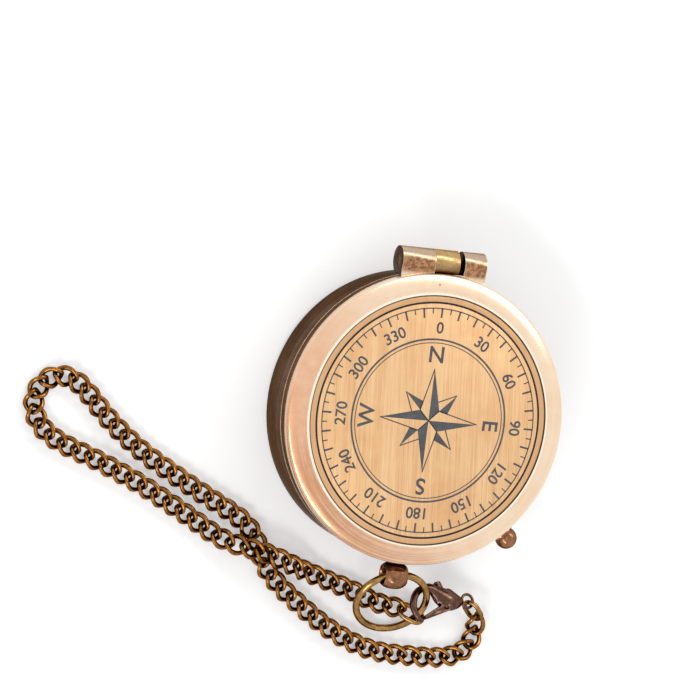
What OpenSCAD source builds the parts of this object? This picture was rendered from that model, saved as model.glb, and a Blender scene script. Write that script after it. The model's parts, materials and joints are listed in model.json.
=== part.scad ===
// Pocket compass with a hinged lid, a bow ring, a curb chain and a lobster clasp.
// It lies on its back. +Z is the compass axis, the lid's hinge is towards +Y, the crown towards -Y.
// The origin is the centre of the case's back face. Lengths are in millimetres, angles in degrees.

/* [Case] */
// Outer diameter of the case wall
case_d = 49.2; // [47:0.2:52]
// Height of the case wall, from its back to the bezel
case_h = 9.6; // [9.2:0.2:12]
// Thickness of the case wall
case_wall = 1.3; // [1.1:0.1:1.5]
// Thickness of the case back
case_back_t = 1.6; // [1.3:0.1:1.8]
// Radius of the rounded edge round the case back
case_edge_r = 1.3; // [0.6:0.1:1.5]

/* [Bezel and crystal] */
// Height of the bezel above the case wall
bezel_h = 2.4; // [2.2:0.1:3]
// How far the bezel stands proud of the case wall
bezel_proud = 0.4; // [0.2:0.05:0.6]
// How far the crystal's edge lies inside the case's outer wall
crystal_inset = 4.2; // [4:0.1:5]
// Thickness of the crystal
crystal_t = 1.2; // [0.9:0.1:1.3]
// Thickness of the gasket under the crystal
gasket_t = 0.3; // [0.2:0.05:0.4]
// How far the bezel's lip laps over the crystal
lip_lap = 0.9; // [0.6:0.1:1.2]

/* [Dial] */
// Thickness of the dial plate
dial_t = 0.6; // [0.4:0.1:0.8]
// Height of the ring that the dial plate lies on
dial_seat_h = 1.8; // [1.4:0.1:2]
// Width of the sloping chapter ring at the dial
chapter_w = 3.4; // [2.8:0.1:4]

/* [Needle] */
// How far the needle's tips stay inside the chapter ring
needle_inset = 2.66; // [2:0.02:6]
// Width of the needle beside its hub
needle_w = 4.4; // [4:0.1:5]
// Thickness of the needle
needle_t = 0.3; // [0.2:0.05:0.4]
// Diameter of the needle's hub
hub_d = 3.4; // [3:0.1:3.8]
// Height of the needle's hub
hub_h = 1.4; // [1.2:0.1:1.6]
// Gap between the needle's hub and the crystal
hub_clear = 1.41; // [1:0.01:1.6]
// Diameter of the steel pivot
pivot_d = 0.8; // [0.6:0.1:1]

/* [Lid] */
// How far the lid stands proud of the case wall
lid_proud = 0.5; // [0.3:0.05:0.7]
// Height of the lid's upright side
lid_side_h = 1; // [0.8:0.1:1.3]
// Height of the lid from its lower edge to its raised bead
lid_h = 2.55; // [2.4:0.05:3]
// Wall of the lid's rim
lid_wall = 1.4; // [1.2:0.1:1.6]
// Width of the lid's rim, from its edge to the raised bead round the disc
rim_w = 3.2; // [2.9:0.1:4]
// Width of the raised bead
bead_w = 0.4; // [0.3:0.05:0.6]
// Thickness of the engraved disc
disc_t = 0.8; // [0.6:0.05:0.9]
// How far the disc lies below the bead
disc_drop = 0.2; // [0.1:0.05:0.3]
// How far the circle cut into the disc lies inside the disc's edge
groove_inset = 1.26; // [0.6:0.02:3]
// Width of that circle's groove
groove_w = 0.32; // [0.2:0.02:0.5]

/* [Lid hinge] */
// Outer diameter of the hinge barrel
barrel_d = 4.9; // [4.4:0.1:5.2]
// Length of the hinge barrel
barrel_len = 15.4; // [14:0.2:17]
// Length of the case's knuckle
case_knuckle_len = 4.4; // [4:0.1:5]
// Length of the lid's left knuckle
left_knuckle_len = 6; // [5:0.1:6.4]
// Play beside the case's knuckle, on its right
knuckle_play = 0.9; // [0.4:0.1:1.2]
// Diameter of the hinge pin
hinge_pin_d = 1.6; // [1.2:0.1:2]
// Thickness of the tab that joins the lid to its knuckles
tab_t = 0.9; // [0.8:0.05:1.1]

/* [Crown] */
// Diameter of the crown's bead
crown_d = 5.4; // [5:0.1:6]
// Height of the crown's bead, along its stem
crown_len = 4.6; // [4.2:0.1:5]
// Distance from the case wall to the middle of the bead
crown_reach = 3.3; // [3.2:0.1:4]
// How far the crown's axis lies below the bezel
crown_drop = 2.3; // [2.3:0.1:3]
// Diameter of the flange where the crown meets the case
flange_d = 4.5; // [4:0.1:4.6]

/* [Bow ring] */
// Diameter of the bow ring at the middle of its wire
bow_ring_d = 12.56; // [12:0.1:13.2]
// Wire of the bow ring
bow_wire = 1.24; // [1:0.04:1.4]
// How far the ring is turned round in the crown's bore
bow_turn_angle = 14; // [8:1:16]

/* [Push button] */
// Where the button stands round the case, from +X
button_angle = -45; // [-50:1:-35]
// How far the button's axis lies below the bezel
button_drop = 2.2; // [2.1:0.1:2.8]
// Diameter of the button's ball end
button_d = 3.8; // [3.4:0.1:4.2]
// Diameter of the button's stem
stem_d = 1.4; // [1.2:0.1:1.6]
// How far the button is pushed in
button_travel = 0.9; // [0.6:0.1:1]

/* [Chain] */
// How far the chain lies out to the left of the crown
chain_reach = 65.7; // [64:0.1:70]
// Wire of the chain
chain_wire = 0.8; // [0.7:0.02:0.84]
// Length of a link over its ends
link_len = 4.65; // [4.6:0.05:4.8]
// Width of a link over its sides
link_w = 3.5; // [3.4:0.05:3.6]
// How far each end of a link is turned out of the flat
link_twist_angle = 50; // [46:1:54]
// Wire of the plain links at the chain's ends
jump_wire = 0.84; // [0.7:0.02:0.9]

/* [Clasp] */
// Radius of the hook at the middle of its stock
hook_r = 3.1; // [3:0.05:3.3]
// Thickness of the hook's stock
hook_stock = 1.3; // [1.1:0.05:1.4]
// Width of the clasp's body at its shoulder
clasp_w = 4; // [3.8:0.1:4.2]
// Thickness of the clasp's body
clasp_t = 2.7; // [2.5:0.1:2.9]
// Thickness of the sprung gate
gate_t = 1.2; // [1:0.05:1.3]
// How far the gate opens
gate_open_angle = 16; // [10:1:16]

/* [Hidden] */
$fn = 64;

// Clearances
seat_gap = 0.04;
run_gap = 0.05;
lid_gap = 0.05;
swing_gap = 0.2;
end_play = 0.21;
floor_gap = 0.01;
overrun = 0.6;

// Radii and heights of the case, the bezel and what they hold
case_r = case_d / 2;
bore_r = case_r - case_wall;
bezel_r = case_r + bezel_proud;
bezel_top = case_h + bezel_h;
bezel_skirt_h = 1;
bezel_skirt_w = 1.2;
bezel_bevel_w = 2.1;
crystal_r = case_r - crystal_inset;
chapter_top = case_h - 0.2 * bezel_skirt_h;
crystal_z = chapter_top + gasket_t;
lip_z = crystal_z + crystal_t + seat_gap;
lip_t = 0.3;
window_r = crystal_r - lip_lap;
skirt_r = bore_r - seat_gap;
skirt_in_r = skirt_r - bezel_skirt_w;
chapter_r = skirt_in_r - seat_gap;
chapter_foot_h = 1;
chapter_slope_w = 0.5 * chapter_w;
dial_z = case_back_t + dial_seat_h;
dial_top = dial_z + dial_t;
dial_r = skirt_r;
dial_seat_w = 5;
gasket_w = 1;
rivet_d = 1.2;

// The needle and its pivot
pivot_base_d = 3;
pivot_base_h = 0.8;
pivot_point_h = 0.6;
jewel_d = 1.8;
jewel_h = 0.8;
jewel_roof = 0.25;
hub_z = crystal_z - hub_clear - hub_h;
pivot_top = hub_z + jewel_h - jewel_roof - seat_gap;
needle_z = hub_z + 0.4 * hub_h;
needle_tip_w = 0.3;
needle_r = dial_r - chapter_w - chapter_slope_w - needle_inset;

// The lid
lid_r = case_r + lid_proud;
lid_z = bezel_top + lid_gap;
lid_in_r = lid_r - lid_wall;
lid_top = lid_z + lid_h;
bead_r = lid_r - rim_w;
disc_hole_r = bead_r - bead_w;
disc_r = disc_hole_r - seat_gap;
disc_top = lid_top - disc_drop;
disc_z = disc_top - disc_t;
disc_seat_w = 0.8;
disc_seat_t = 0.4;
lid_ceiling = disc_z - disc_seat_t;
shoulder_r = 0.8 * lid_side_h;
bulge_h = 0.16;
groove_depth = 0.1;
groove_r = disc_r - groove_inset;
shoulder_angle = 66;

// The lid's hinge
barrel_r = barrel_d / 2;
hinge_y = bezel_r + 0.65 * barrel_r;
hinge_z = bezel_top - 0.49 * barrel_r;
relief_r = barrel_r + swing_gap;
barrel_x = -barrel_len / 2;
case_knuckle_x = barrel_x + left_knuckle_len + run_gap;
right_knuckle_x = case_knuckle_x + case_knuckle_len + knuckle_play;
leaf_t = 1.3;
leaf_drop = 5.4;
pin_r = hinge_pin_d / 2;
bore_clear = 0.02;

// The crown and the bow ring
crown_y = case_r + crown_reach;
crown_z = case_h - crown_drop;
crown_r = crown_d / 2;
crown_corner = 0.43 * crown_len;
flange_t = 0.9;
wall_seat = 0.35;
neck_d = 3;
tenon_d = 2;
bow_r = bow_ring_d / 2;
bow_wire_r = bow_wire / 2;
bow_bore_mid = 1.4;
bow_bore_r = bow_wire_r + bow_bore_mid / 2 * tan(bow_turn_angle) + swing_gap;
bow_mouth_angle = bow_turn_angle + asin(crown_r / bow_r);
bow_mouth_r = bow_wire_r / cos(bow_mouth_angle) + crown_r * tan(bow_turn_angle)
    + crown_r * crown_r / bow_ring_d + run_gap;
bow_droop_angle = asin((crown_z - bow_wire_r - floor_gap) / (bow_r * (1 + cos(bow_turn_angle))));

// The push button, along its own axis from the middle of the case
stem_r = stem_d / 2;
button_z = case_h - button_drop;
button_r = button_d / 2;
collar_d = 3.2;
bush_d = 2.2;
collar_proud = 0.9;
button_flange_t = 0.5;
button_flange_d = 4;
button_base_angle = 38;
button_flange_x = case_r + collar_proud + button_travel + 0.4 * button_flange_t;
button_ball_x = button_flange_x + 0.85 * button_r;
catch_t = 0.6;
catch_w = 3.4;
catch_x = bore_r - seat_gap - 0.6 * catch_t - catch_t;
catch_slot_w = 4;
catch_foot = 1.2;
nose_h = 0.4;
nose_out = 0.4;
nose_gap = 0.12;
lug_t = 0.4;
lug_turn_angle = 8;
slot_in_x = catch_x - button_travel - swing_gap;
slot_out_x = catch_x + catch_t + swing_gap;
lug_r = catch_x + catch_t + nose_out + nose_gap;
lug_z = lid_z + 0.1 * lid_side_h;
nose_z = lug_z + lug_t + seat_gap;
pocket_d = 2.2;
pocket_x = slot_in_x - 1.5 * button_travel;
spring_wire = 0.2;
spring_turns = 3;

// The chain. The route runs from the bow ring, round the far loop and back to the clasp. Its points
// are shares of the chain's reach, from the crown, and of the height at which a link lies.
chain_r = chain_wire / 2;
link_half = (link_len - chain_wire) / 2;
link_half_w = (link_w - chain_wire) / 2;
link_slack = 0.35;
link_pitch = link_len - 2 * chain_wire - link_slack;
link_sides = 6;
link_rings = 14;
route_steps = 12;
end_links = 6;
route_shares = [
    [-0.006, -0.09, 1], [-0.067, -0.065, 1], [-0.131, -0.046, 1], [-0.195, -0.026, 1.2],
    [-0.24, -0.011, 2.2], [-0.292, 0.009, 3], [-0.344, 0.026, 3.1], [-0.396, 0.035, 2.8],
    [-0.441, 0.044, 1.7], [-0.487, 0.065, 1], [-0.556, 0.104, 1], [-0.624, 0.14, 1],
    [-0.693, 0.175, 1], [-0.761, 0.205, 1], [-0.83, 0.233, 1], [-0.89, 0.254, 1], [-0.95, 0.282, 1],
    [-0.992, 0.326, 1], [-1, 0.384, 1], [-0.965, 0.432, 1], [-0.907, 0.434, 1], [-0.858, 0.397, 1],
    [-0.814, 0.352, 1], [-0.761, 0.306, 1], [-0.693, 0.257, 1], [-0.624, 0.218, 1],
    [-0.556, 0.181, 1], [-0.487, 0.146, 1], [-0.429, 0.117, 1], [-0.384, 0.087, 1],
    [-0.352, 0.044, 1], [-0.332, -0.005, 1], [-0.298, -0.047, 1], [-0.253, -0.084, 1],
    [-0.198, -0.123, 1], [-0.137, -0.163, 1], [-0.076, -0.193, 1], [-0.015, -0.215, 1],
    [0.046, -0.225, 1], [0.107, -0.227, 1], [0.17, -0.229, 1], [0.203, -0.225, 1],
    [0.242, -0.22, 1], [0.276, -0.192, 1], [0.288, -0.15, 1]
];
link_rise_shares = [for (t = [0 : 5 : 90]) sin(t) * sin(link_twist_angle * cos(t))];
chain_lie = chain_r + run_gap + link_half_w * max(link_rise_shares);
route_middle = [for (p = route_shares) [p.x * chain_reach, p.y * chain_reach - crown_y, p.z * chain_lie]];

// The jump link: where it sits round the bow ring, the way that it lies, and its inner sizes
jump_at_angle = 28.4;
jump_pull = unit([-0.9, 0.36, -0.27]);
jump_in_len = 3.7;
jump_in_w = 2.3;
jump_roll_angle = 45;
clasp_link_in_len = 3;
clasp_link_in_w = 1.9;
clasp_link_roll_angle = 61;
clasp_pull = unit([0.642, -0.748, -0.169]);

// The clasp, in its own flat: x runs from the hook to the tail, y across it
clasp_lean_angles = [-19, 15, 4.3];
clasp_at_angle = -10;
clasp_seat_share = [-0.06, 0.36];
hook_from_angle = 238;
hook_to_angle = 62;
hook_steps = 12;
hook_tip_share = 0.65;
spine_shares = [[0.8, 0.62], [1.1, 0.4], [1.42, 0.24], [1.75, 0.15], [2.1, 0.11], [2.42, 0.1]];
spine_width_shares = [0.78, 0.95, 1, 0.86, 0.6, 0.26];
spine_depth_shares = [0.82, 0.96, 1, 0.88, 0.62, 0.3];
tail_share = [2.76, 0.1];
tail_r_share = 0.38;
tail_wire = 0.5;
gate_pivot_share = [1.26, -0.15];
gate_tip_share = [-0.29, -0.68];
thumb_share = [0.84, 1.19];
gate_root_w = 1.5;
gate_tip_w = 0.6;
thumb_w = 0.8;
lever_round_angle = 60;
gate_pin_d = 0.7;
gate_spring_d = 0.8;
gate_spring_share = [1.42, 0.26];
gate_spring_len_share = 0.34;
clasp_sides = 12;
gate_pivot = gate_pivot_share * hook_r;
gate_tip = gate_tip_share * hook_r;
thumb = thumb_share * hook_r;
tail_r = tail_r_share * hook_r;
gate_slot_t = gate_t + 2 * run_gap;

// Vectors and frames
function unit(v) = v / norm(v);
function spin_x(p, a) = [p.x, p.y * cos(a) - p.z * sin(a), p.y * sin(a) + p.z * cos(a)];
function spin_y(p, a) = [p.x * cos(a) + p.z * sin(a), p.y, p.z * cos(a) - p.x * sin(a)];
function spin_z(p, a) = [p.x * cos(a) - p.y * sin(a), p.x * sin(a) + p.y * cos(a), p.z];
function spin(p, a) = spin_z(spin_y(spin_x(p, a.x), a.y), a.z);
function columns(e1, e2, e3, at) = [
    [e1.x, e2.x, e3.x, at.x], [e1.y, e2.y, e3.y, at.y], [e1.z, e2.z, e3.z, at.z], [0, 0, 0, 1]
];
function flat(p) = [p.x, p.y, 0];

// Points on an arc, and points on a shallow bulge between two points
function arc(c, r, a0, a1, n) = [for (k = [0 : n]) let (a = a0 + (a1 - a0) * k / n) c + r * [cos(a), sin(a)]];
function bulge(p, q, h, n) = let (side = unit([p.y - q.y, q.x - p.x]))
    [for (k = [1 : n - 1]) p + (q - p) * k / n - side * 4 * h * (k / n) * (1 - k / n)];

// A smooth curve through points, its running length, and the place at a given length along it
function curve_at(a, b, c, d, t) = (2 * b + (c - a) * t + (2 * a - 5 * b + 4 * c - d) * t * t
    + (3 * b - a - 3 * c + d) * t * t * t) / 2;
function curve(p, n) = [
    for (i = [0 : len(p) - 2]) for (k = [0 : n - 1])
        curve_at(p[max(i - 1, 0)], p[i], p[i + 1], p[min(i + 2, len(p) - 1)], k / n),
    p[len(p) - 1]
];
function gap_after(p, i) = i + 1 < len(p) ? norm(p[i + 1] - p[i]) : 0;
function lengths(p) = [for (i = 0, s = 0; i < len(p); s = s + gap_after(p, i), i = i + 1) s];
function place(p, s, v) = let (k = max([for (i = [0 : len(s) - 2]) if (s[i] <= v) i]))
    p[k] + (p[k + 1] - p[k]) * (v - s[k]) / (s[k + 1] - s[k]);

// Faces of a sweep with n rings of m points, closed on itself or with flat ends
function side_faces(n, m, closed) = [
    for (i = [0 : (closed ? n - 1 : n - 2)]) for (j = [0 : m - 1]) for (h = [0, 1])
        let (
            a = i * m + j, b = i * m + (j + 1) % m,
            c = ((i + 1) % n) * m + j, d = ((i + 1) % n) * m + (j + 1) % m
        )
        h == 0 ? [a, b, c] : [b, d, c]
];
function end_faces(n, m) = [
    for (j = [1 : m - 2]) [0, j + 1, j],
    for (j = [1 : m - 2]) [(n - 1) * m, (n - 1) * m + j, (n - 1) * m + j + 1]
];

// A round tube along points; side gives the direction that its first corner faces at each point
module sweep(points, sides, radius, up, closed) {
    n = len(points);
    rings = [
        for (i = [0 : n - 1])
            let (
                before = points[closed ? (i + n - 1) % n : max(i - 1, 0)],
                after = points[closed ? (i + 1) % n : min(i + 1, n - 1)],
                along = unit(after - before),
                out = unit(cross(along, up[i])),
                top = cross(out, along)
            )
            for (j = [0 : sides - 1])
                points[i] + radius * (out * cos(360 * (j + 0.5) / sides) + top * sin(360 * (j + 0.5) / sides))
    ];
    polyhedron(rings, concat(side_faces(n, sides, closed), closed ? [] : end_faces(n, sides)), convexity = 6);
}

// A coil spring along +Z
module coil(diameter, wire, turns, height) {
    steps = 12 * turns;
    radius = (diameter - wire) / 2;
    points = [
        for (k = [0 : steps]) let (a = 360 * turns * k / steps)
            [radius * cos(a), radius * sin(a), wire / 2 + (height - wire) * k / steps]
    ];
    sweep(points, 6, wire / 2, [for (k = [0 : steps]) [0, 0, 1]], false);
}

// A plain oval link in the XY plane, long along X, bent from round wire
module oval_link(in_len, in_w, wire) {
    bend_r = (in_w + wire) / 2;
    half = (in_len - in_w) / 2;
    for (s = [-1, 1]) {
        translate([s * half, 0, 0])
            rotate([0, 0, -s * 90])
                rotate_extrude(angle = 180) translate([bend_r, 0]) circle(r = wire / 2);
        translate([-half, s * bend_r, 0]) rotate([0, 90, 0]) cylinder(r = wire / 2, h = 2 * half);
    }
}

// The case
module case_shell() {
    rotate_extrude() {
        translate([0, case_edge_r]) square([case_r, case_h - case_edge_r]);
        square([case_r - case_edge_r, case_h]);
        translate([case_r - case_edge_r, case_edge_r]) circle(r = case_edge_r);
    }
}

module hinge_relief() {
    translate([barrel_x - swing_gap, hinge_y, hinge_z])
        rotate([0, 90, 0]) cylinder(r = relief_r, h = barrel_len + 2 * swing_gap);
}

module along_crown() {
    translate([0, 0, crown_z]) rotate([90, 0, 0]) children();
}

module along_button() {
    rotate([0, 0, button_angle]) translate([0, 0, button_z]) rotate([0, 90, 0]) children();
}

module case_body() {
    color("#6b4a35")
    difference() {
        case_shell();
        translate([0, 0, case_back_t]) cylinder(r = bore_r, h = case_h);
        hinge_relief();
        along_crown() cylinder(r = tenon_d / 2 + seat_gap, h = case_r + overrun);
        along_crown() translate([0, 0, case_r - wall_seat])
            cylinder(r = flange_d / 2 + seat_gap, h = 2 * overrun);
        along_button() cylinder(r = bush_d / 2 + seat_gap, h = case_r + overrun);
        along_button() translate([0, 0, case_r - wall_seat])
            cylinder(r = collar_d / 2 + seat_gap, h = 2 * overrun);
    }
}

// The bezel, with the seat for the crystal and the slot for the catch
module bezel_ring() {
    color("#9a6f4c")
    difference() {
        rotate_extrude()
            polygon([
                [skirt_in_r, case_h - bezel_skirt_h], [skirt_r, case_h - bezel_skirt_h],
                [skirt_r, case_h], [bezel_r, case_h], [bezel_r, bezel_top],
                [bezel_r - bezel_bevel_w, bezel_top], [window_r, lip_z + lip_t], [window_r, lip_z],
                [crystal_r + seat_gap, lip_z], [crystal_r + seat_gap, chapter_top + seat_gap],
                [skirt_in_r, chapter_top + seat_gap]
            ]);
        hinge_relief();
        rotate([0, 0, button_angle])
            translate([slot_in_x, -catch_slot_w / 2, case_h - bezel_skirt_h - overrun])
                cube([slot_out_x - slot_in_x, catch_slot_w, bezel_top]);
    }
}

module crystal() {
    color("#dfe8ea", 0.35)
    translate([0, 0, crystal_z]) cylinder(r = crystal_r, h = crystal_t);
}

module crystal_gasket() {
    color("#2a2a2a")
    translate([0, 0, chapter_top])
        difference() {
            cylinder(r = crystal_r, h = gasket_t);
            translate([0, 0, -overrun]) cylinder(r = crystal_r - gasket_w, h = gasket_t + 2 * overrun);
        }
}

// The sloping ring between dial and crystal, cut away where the catch and its spring work
module chapter_ring() {
    color("#c9a36a")
    difference() {
        rotate_extrude()
            polygon([
                [dial_r - chapter_w - chapter_slope_w, dial_top], [dial_r, dial_top],
                [dial_r, dial_top + chapter_foot_h], [chapter_r, dial_top + chapter_foot_h],
                [chapter_r, chapter_top], [crystal_r - gasket_w, chapter_top]
            ]);
        rotate([0, 0, button_angle])
            translate([slot_in_x, -catch_slot_w / 2, button_z - catch_foot - swing_gap])
                cube([case_r - slot_in_x, catch_slot_w, case_h]);
        along_button() translate([0, 0, pocket_x]) cylinder(r = pocket_d / 2, h = case_r - pocket_x);
    }
}

module dial_seat_ring() {
    color("#8a6a45")
    translate([0, 0, case_back_t])
        difference() {
            cylinder(r = dial_r, h = dial_seat_h);
            translate([0, 0, -overrun]) cylinder(r = dial_r - dial_seat_w, h = dial_seat_h + 2 * overrun);
        }
}

module dial_plate() {
    color("#e9e2cf")
    translate([0, 0, dial_z])
        difference() {
            cylinder(r = dial_r, h = dial_t);
            translate([0, 0, -overrun]) cylinder(r = rivet_d / 2 + seat_gap, h = dial_t + 2 * overrun);
        }
}

// The pivot: a turned base riveted through the dial, and the steel point in it
module pivot_base() {
    color("#b08a4e")
    difference() {
        union() {
            translate([0, 0, dial_top])
                cylinder(d1 = pivot_base_d, d2 = 0.6 * pivot_base_d, h = pivot_base_h);
            translate([0, 0, case_back_t]) cylinder(d = rivet_d, h = dial_seat_h + dial_t);
            translate([0, 0, case_back_t]) cylinder(d = pivot_base_d, h = dial_seat_h - seat_gap);
        }
        translate([0, 0, dial_top - pivot_base_h])
            cylinder(d = pivot_d + 2 * bore_clear, h = 3 * pivot_base_h);
    }
}

module pivot_pin() {
    color("#8f959a") {
        translate([0, 0, dial_top - pivot_base_h])
            cylinder(d = pivot_d, h = pivot_top - dial_top + pivot_base_h - pivot_point_h);
        translate([0, 0, pivot_top - pivot_point_h]) cylinder(d1 = pivot_d, d2 = 0, h = pivot_point_h);
    }
}

// The needle, a long rhombus of steel, with its hub and the jewel that rides on the point
module needle() {
    color("#2d4f86")
    translate([0, 0, needle_z])
        difference() {
            linear_extrude(needle_t)
                polygon([
                    for (s = [1, -1]) each [
                        [s * needle_w / 2, 0], [s * needle_tip_w / 2, s * needle_r],
                        [-s * needle_tip_w / 2, s * needle_r]
                    ]
                ]);
            translate([0, 0, -overrun])
                cylinder(d = 0.7 * hub_d + 2 * bore_clear, h = needle_t + 2 * overrun);
        }
}

module needle_hub() {
    color("#c79a4b")
    difference() {
        union() {
            translate([0, 0, hub_z]) cylinder(d = 0.7 * hub_d, h = 0.7 * hub_h);
            translate([0, 0, needle_z + needle_t + bore_clear])
                cylinder(d1 = hub_d, d2 = 0.7 * hub_d, h = hub_z + hub_h - needle_z - needle_t);
            translate([0, 0, hub_z]) cylinder(d = hub_d, h = needle_z - hub_z - bore_clear);
        }
        translate([0, 0, hub_z - overrun]) cylinder(d = jewel_d + 2 * bore_clear, h = jewel_h + overrun);
    }
}

module hub_jewel() {
    color("#9b2340")
    difference() {
        translate([0, 0, hub_z]) cylinder(d = jewel_d, h = jewel_h - bore_clear);
        translate([0, 0, hub_z])
            cylinder(d1 = 0.85 * jewel_d, d2 = 0, h = jewel_h - jewel_roof);
    }
}

// The lid: a spun rim with a raised bead, knuckles and tab, and the engraved disc in it
module lid_profile() {
    side_top = lid_z + lid_side_h;
    shoulder = [lid_r - shoulder_r, side_top];
    slope_start = shoulder + shoulder_r * [cos(shoulder_angle), sin(shoulder_angle)];
    slope_end = [bead_r, lid_top - disc_drop];
    polygon(concat(
        [[lid_in_r, lid_z], [lid_r, lid_z]],
        arc(shoulder, shoulder_r, 0, shoulder_angle, 6),
        bulge(slope_start, slope_end, bulge_h, 6),
        [
            slope_end, [bead_r - 0.25 * bead_w, lid_top], [disc_hole_r, lid_top],
            [disc_hole_r, disc_z], [disc_hole_r - disc_seat_w, disc_z],
            [disc_hole_r - disc_seat_w, lid_ceiling], [lid_in_r, lid_ceiling]
        ]
    ));
}

module knuckle(x, length) {
    translate([x, hinge_y, hinge_z]) rotate([0, 90, 0]) cylinder(r = barrel_r, h = length);
}

module lid_ring() {
    color("#c9986f")
    difference() {
        union() {
            rotate_extrude() lid_profile();
            difference() {
                translate([barrel_x, lid_in_r - lid_wall, lid_z])
                    cube([barrel_len, hinge_y - lid_in_r + lid_wall - 0.45 * barrel_r, tab_t]);
                translate([0, 0, lid_z - overrun]) cylinder(r = lid_in_r, h = lid_h);
            }
            knuckle(barrel_x, left_knuckle_len);
            knuckle(right_knuckle_x, -barrel_x - right_knuckle_x);
        }
        translate([barrel_x - overrun, hinge_y, hinge_z])
            rotate([0, 90, 0]) cylinder(r = pin_r + bore_clear, h = barrel_len + 2 * overrun);
        translate([case_knuckle_x - run_gap, hinge_y, hinge_z])
            rotate([0, 90, 0]) cylinder(r = relief_r, h = right_knuckle_x - case_knuckle_x + run_gap);
    }
}

module lid_disc() {
    color("#d2a878")
    difference() {
        translate([0, 0, disc_z]) cylinder(r = disc_r, h = disc_t);
        translate([0, 0, disc_top - groove_depth])
            difference() {
                cylinder(r = groove_r + groove_w / 2, h = disc_t);
                translate([0, 0, -overrun]) cylinder(r = groove_r - groove_w / 2, h = disc_t + 2 * overrun);
            }
    }
}

// The lid's catch, a lug inside its rim that the button's nose stands over
module lid_catch() {
    color("#a67b52")
    rotate([0, 0, button_angle - lug_turn_angle / 2])
        rotate_extrude(angle = lug_turn_angle)
            translate([lug_r, lug_z]) square([lid_in_r - bore_clear - lug_r, lug_t]);
}

// The case's knuckle, on a leaf that follows the wall down
module case_knuckle() {
    color("#c79f4f")
    difference() {
        union() {
            knuckle(case_knuckle_x, case_knuckle_len);
            translate([case_knuckle_x, case_r - leaf_t, hinge_z - leaf_drop])
                cube([case_knuckle_len, 2 * leaf_t, leaf_drop]);
        }
        translate([0, 0, -overrun]) cylinder(r = case_r + seat_gap, h = case_h + overrun + seat_gap);
        cylinder(r = bezel_r - bezel_proud, h = lid_top);
        translate([case_knuckle_x - overrun, hinge_y, hinge_z])
            rotate([0, 90, 0]) cylinder(r = pin_r + run_gap, h = case_knuckle_len + 2 * overrun);
    }
}

module hinge_pin() {
    color("#b98c56")
    translate([barrel_x, hinge_y, hinge_z]) rotate([0, 90, 0]) cylinder(r = pin_r, h = barrel_len);
}

// The crown: a flange against the case, and the turned bead that the ring swings in
module crown_flange() {
    color("#7d5539")
    along_crown()
        difference() {
            translate([0, 0, case_r - wall_seat + bore_clear])
                cylinder(d = flange_d, h = wall_seat + flange_t);
            cylinder(r = tenon_d / 2 + seat_gap, h = crown_y);
        }
}

module crown_bead() {
    color("#8a5c3c")
    translate([0, -crown_y, crown_z])
        difference() {
            union() {
                rotate([90, 0, 0]) translate([0, 0, -crown_len / 2])
                    rotate_extrude()
                        polygon(concat(
                            [[0, 0]],
                            arc([crown_r - crown_corner, crown_corner], crown_corner, -90, 0, 7),
                            arc([crown_r - crown_corner, crown_len - crown_corner], crown_corner, 0, 90, 7),
                            [[0, crown_len]]
                        ));
                rotate([-90, 0, 0]) cylinder(d = neck_d, h = crown_reach - flange_t - seat_gap);
                rotate([-90, 0, 0]) cylinder(d = tenon_d, h = crown_reach + case_wall);
            }
            translate([-crown_d, 0, 0]) rotate([0, 90, 0]) cylinder(r = bow_bore_r, h = 2 * crown_d);
            for (s = [-1, 1])
                rotate([0, s * 90, 0]) translate([0, 0, bow_bore_mid / 2])
                    cylinder(r1 = bow_bore_r, r2 = bow_mouth_r, h = crown_r - bow_bore_mid / 2);
        }
}

// The bow ring and its frame: its own XY plane, its middle at the origin, the crown at +Y
function bow_place(p) = [0, -crown_y, crown_z]
    + spin_x(spin_z(p - [0, bow_r, 0], bow_turn_angle), bow_droop_angle);
function bow_point(a) = bow_place(spin_z([bow_r, 0, 0], -a - bow_turn_angle));

module bow_ring() {
    color("#b08440")
    translate([0, -crown_y, crown_z])
        rotate([bow_droop_angle, 0, 0]) rotate([0, 0, bow_turn_angle]) translate([0, -bow_r, 0])
            rotate_extrude() translate([bow_r, 0]) circle(r = bow_wire_r);
}

// The push button: collar on the case, flanged ball on a stem, catch and spring inside
module button_collar() {
    color("#6f4a30")
    along_button()
        difference() {
            union() {
                translate([0, 0, bore_r]) cylinder(d = bush_d, h = case_wall);
                translate([0, 0, case_r - wall_seat + bore_clear])
                    cylinder(d = collar_d, h = wall_seat + collar_proud);
            }
            cylinder(r = stem_r + run_gap, h = case_r + collar_proud + 2 * overrun);
        }
}

module push_button() {
    color("#8a5c3c")
    along_button() {
        translate([0, 0, catch_x + catch_t + bore_clear])
            cylinder(r = stem_r, h = button_flange_x - catch_x - catch_t);
        translate([0, 0, catch_x - overrun])
            cylinder(r = 0.6 * stem_r, h = 3 * overrun);
        translate([0, 0, button_flange_x]) cylinder(d = button_flange_d, h = button_flange_t);
        rotate_extrude()
            polygon(concat(
                [[0, button_flange_x], [0.8 * button_r, button_flange_x]],
                arc([0, button_ball_x], button_r, -button_base_angle, 90, 12)
            ));
    }
}

module button_catch() {
    color("#9aa0a4")
    difference() {
        rotate([0, 0, button_angle]) {
            translate([catch_x, -catch_w / 2, button_z - catch_foot])
                cube([catch_t, catch_w, nose_z + nose_h - button_z + catch_foot]);
            translate([catch_x, -catch_w / 2, nose_z]) cube([catch_t + nose_out, catch_w, nose_h]);
        }
        along_button() translate([0, 0, catch_x - overrun])
            cylinder(r = 0.6 * stem_r + bore_clear, h = catch_t + 2 * overrun);
    }
}

module button_spring() {
    color("#8f959a")
    along_button() translate([0, 0, pocket_x + seat_gap])
        coil(pocket_d - 2 * run_gap, spring_wire, spring_turns, catch_x - pocket_x - 2 * seat_gap);
}

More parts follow.
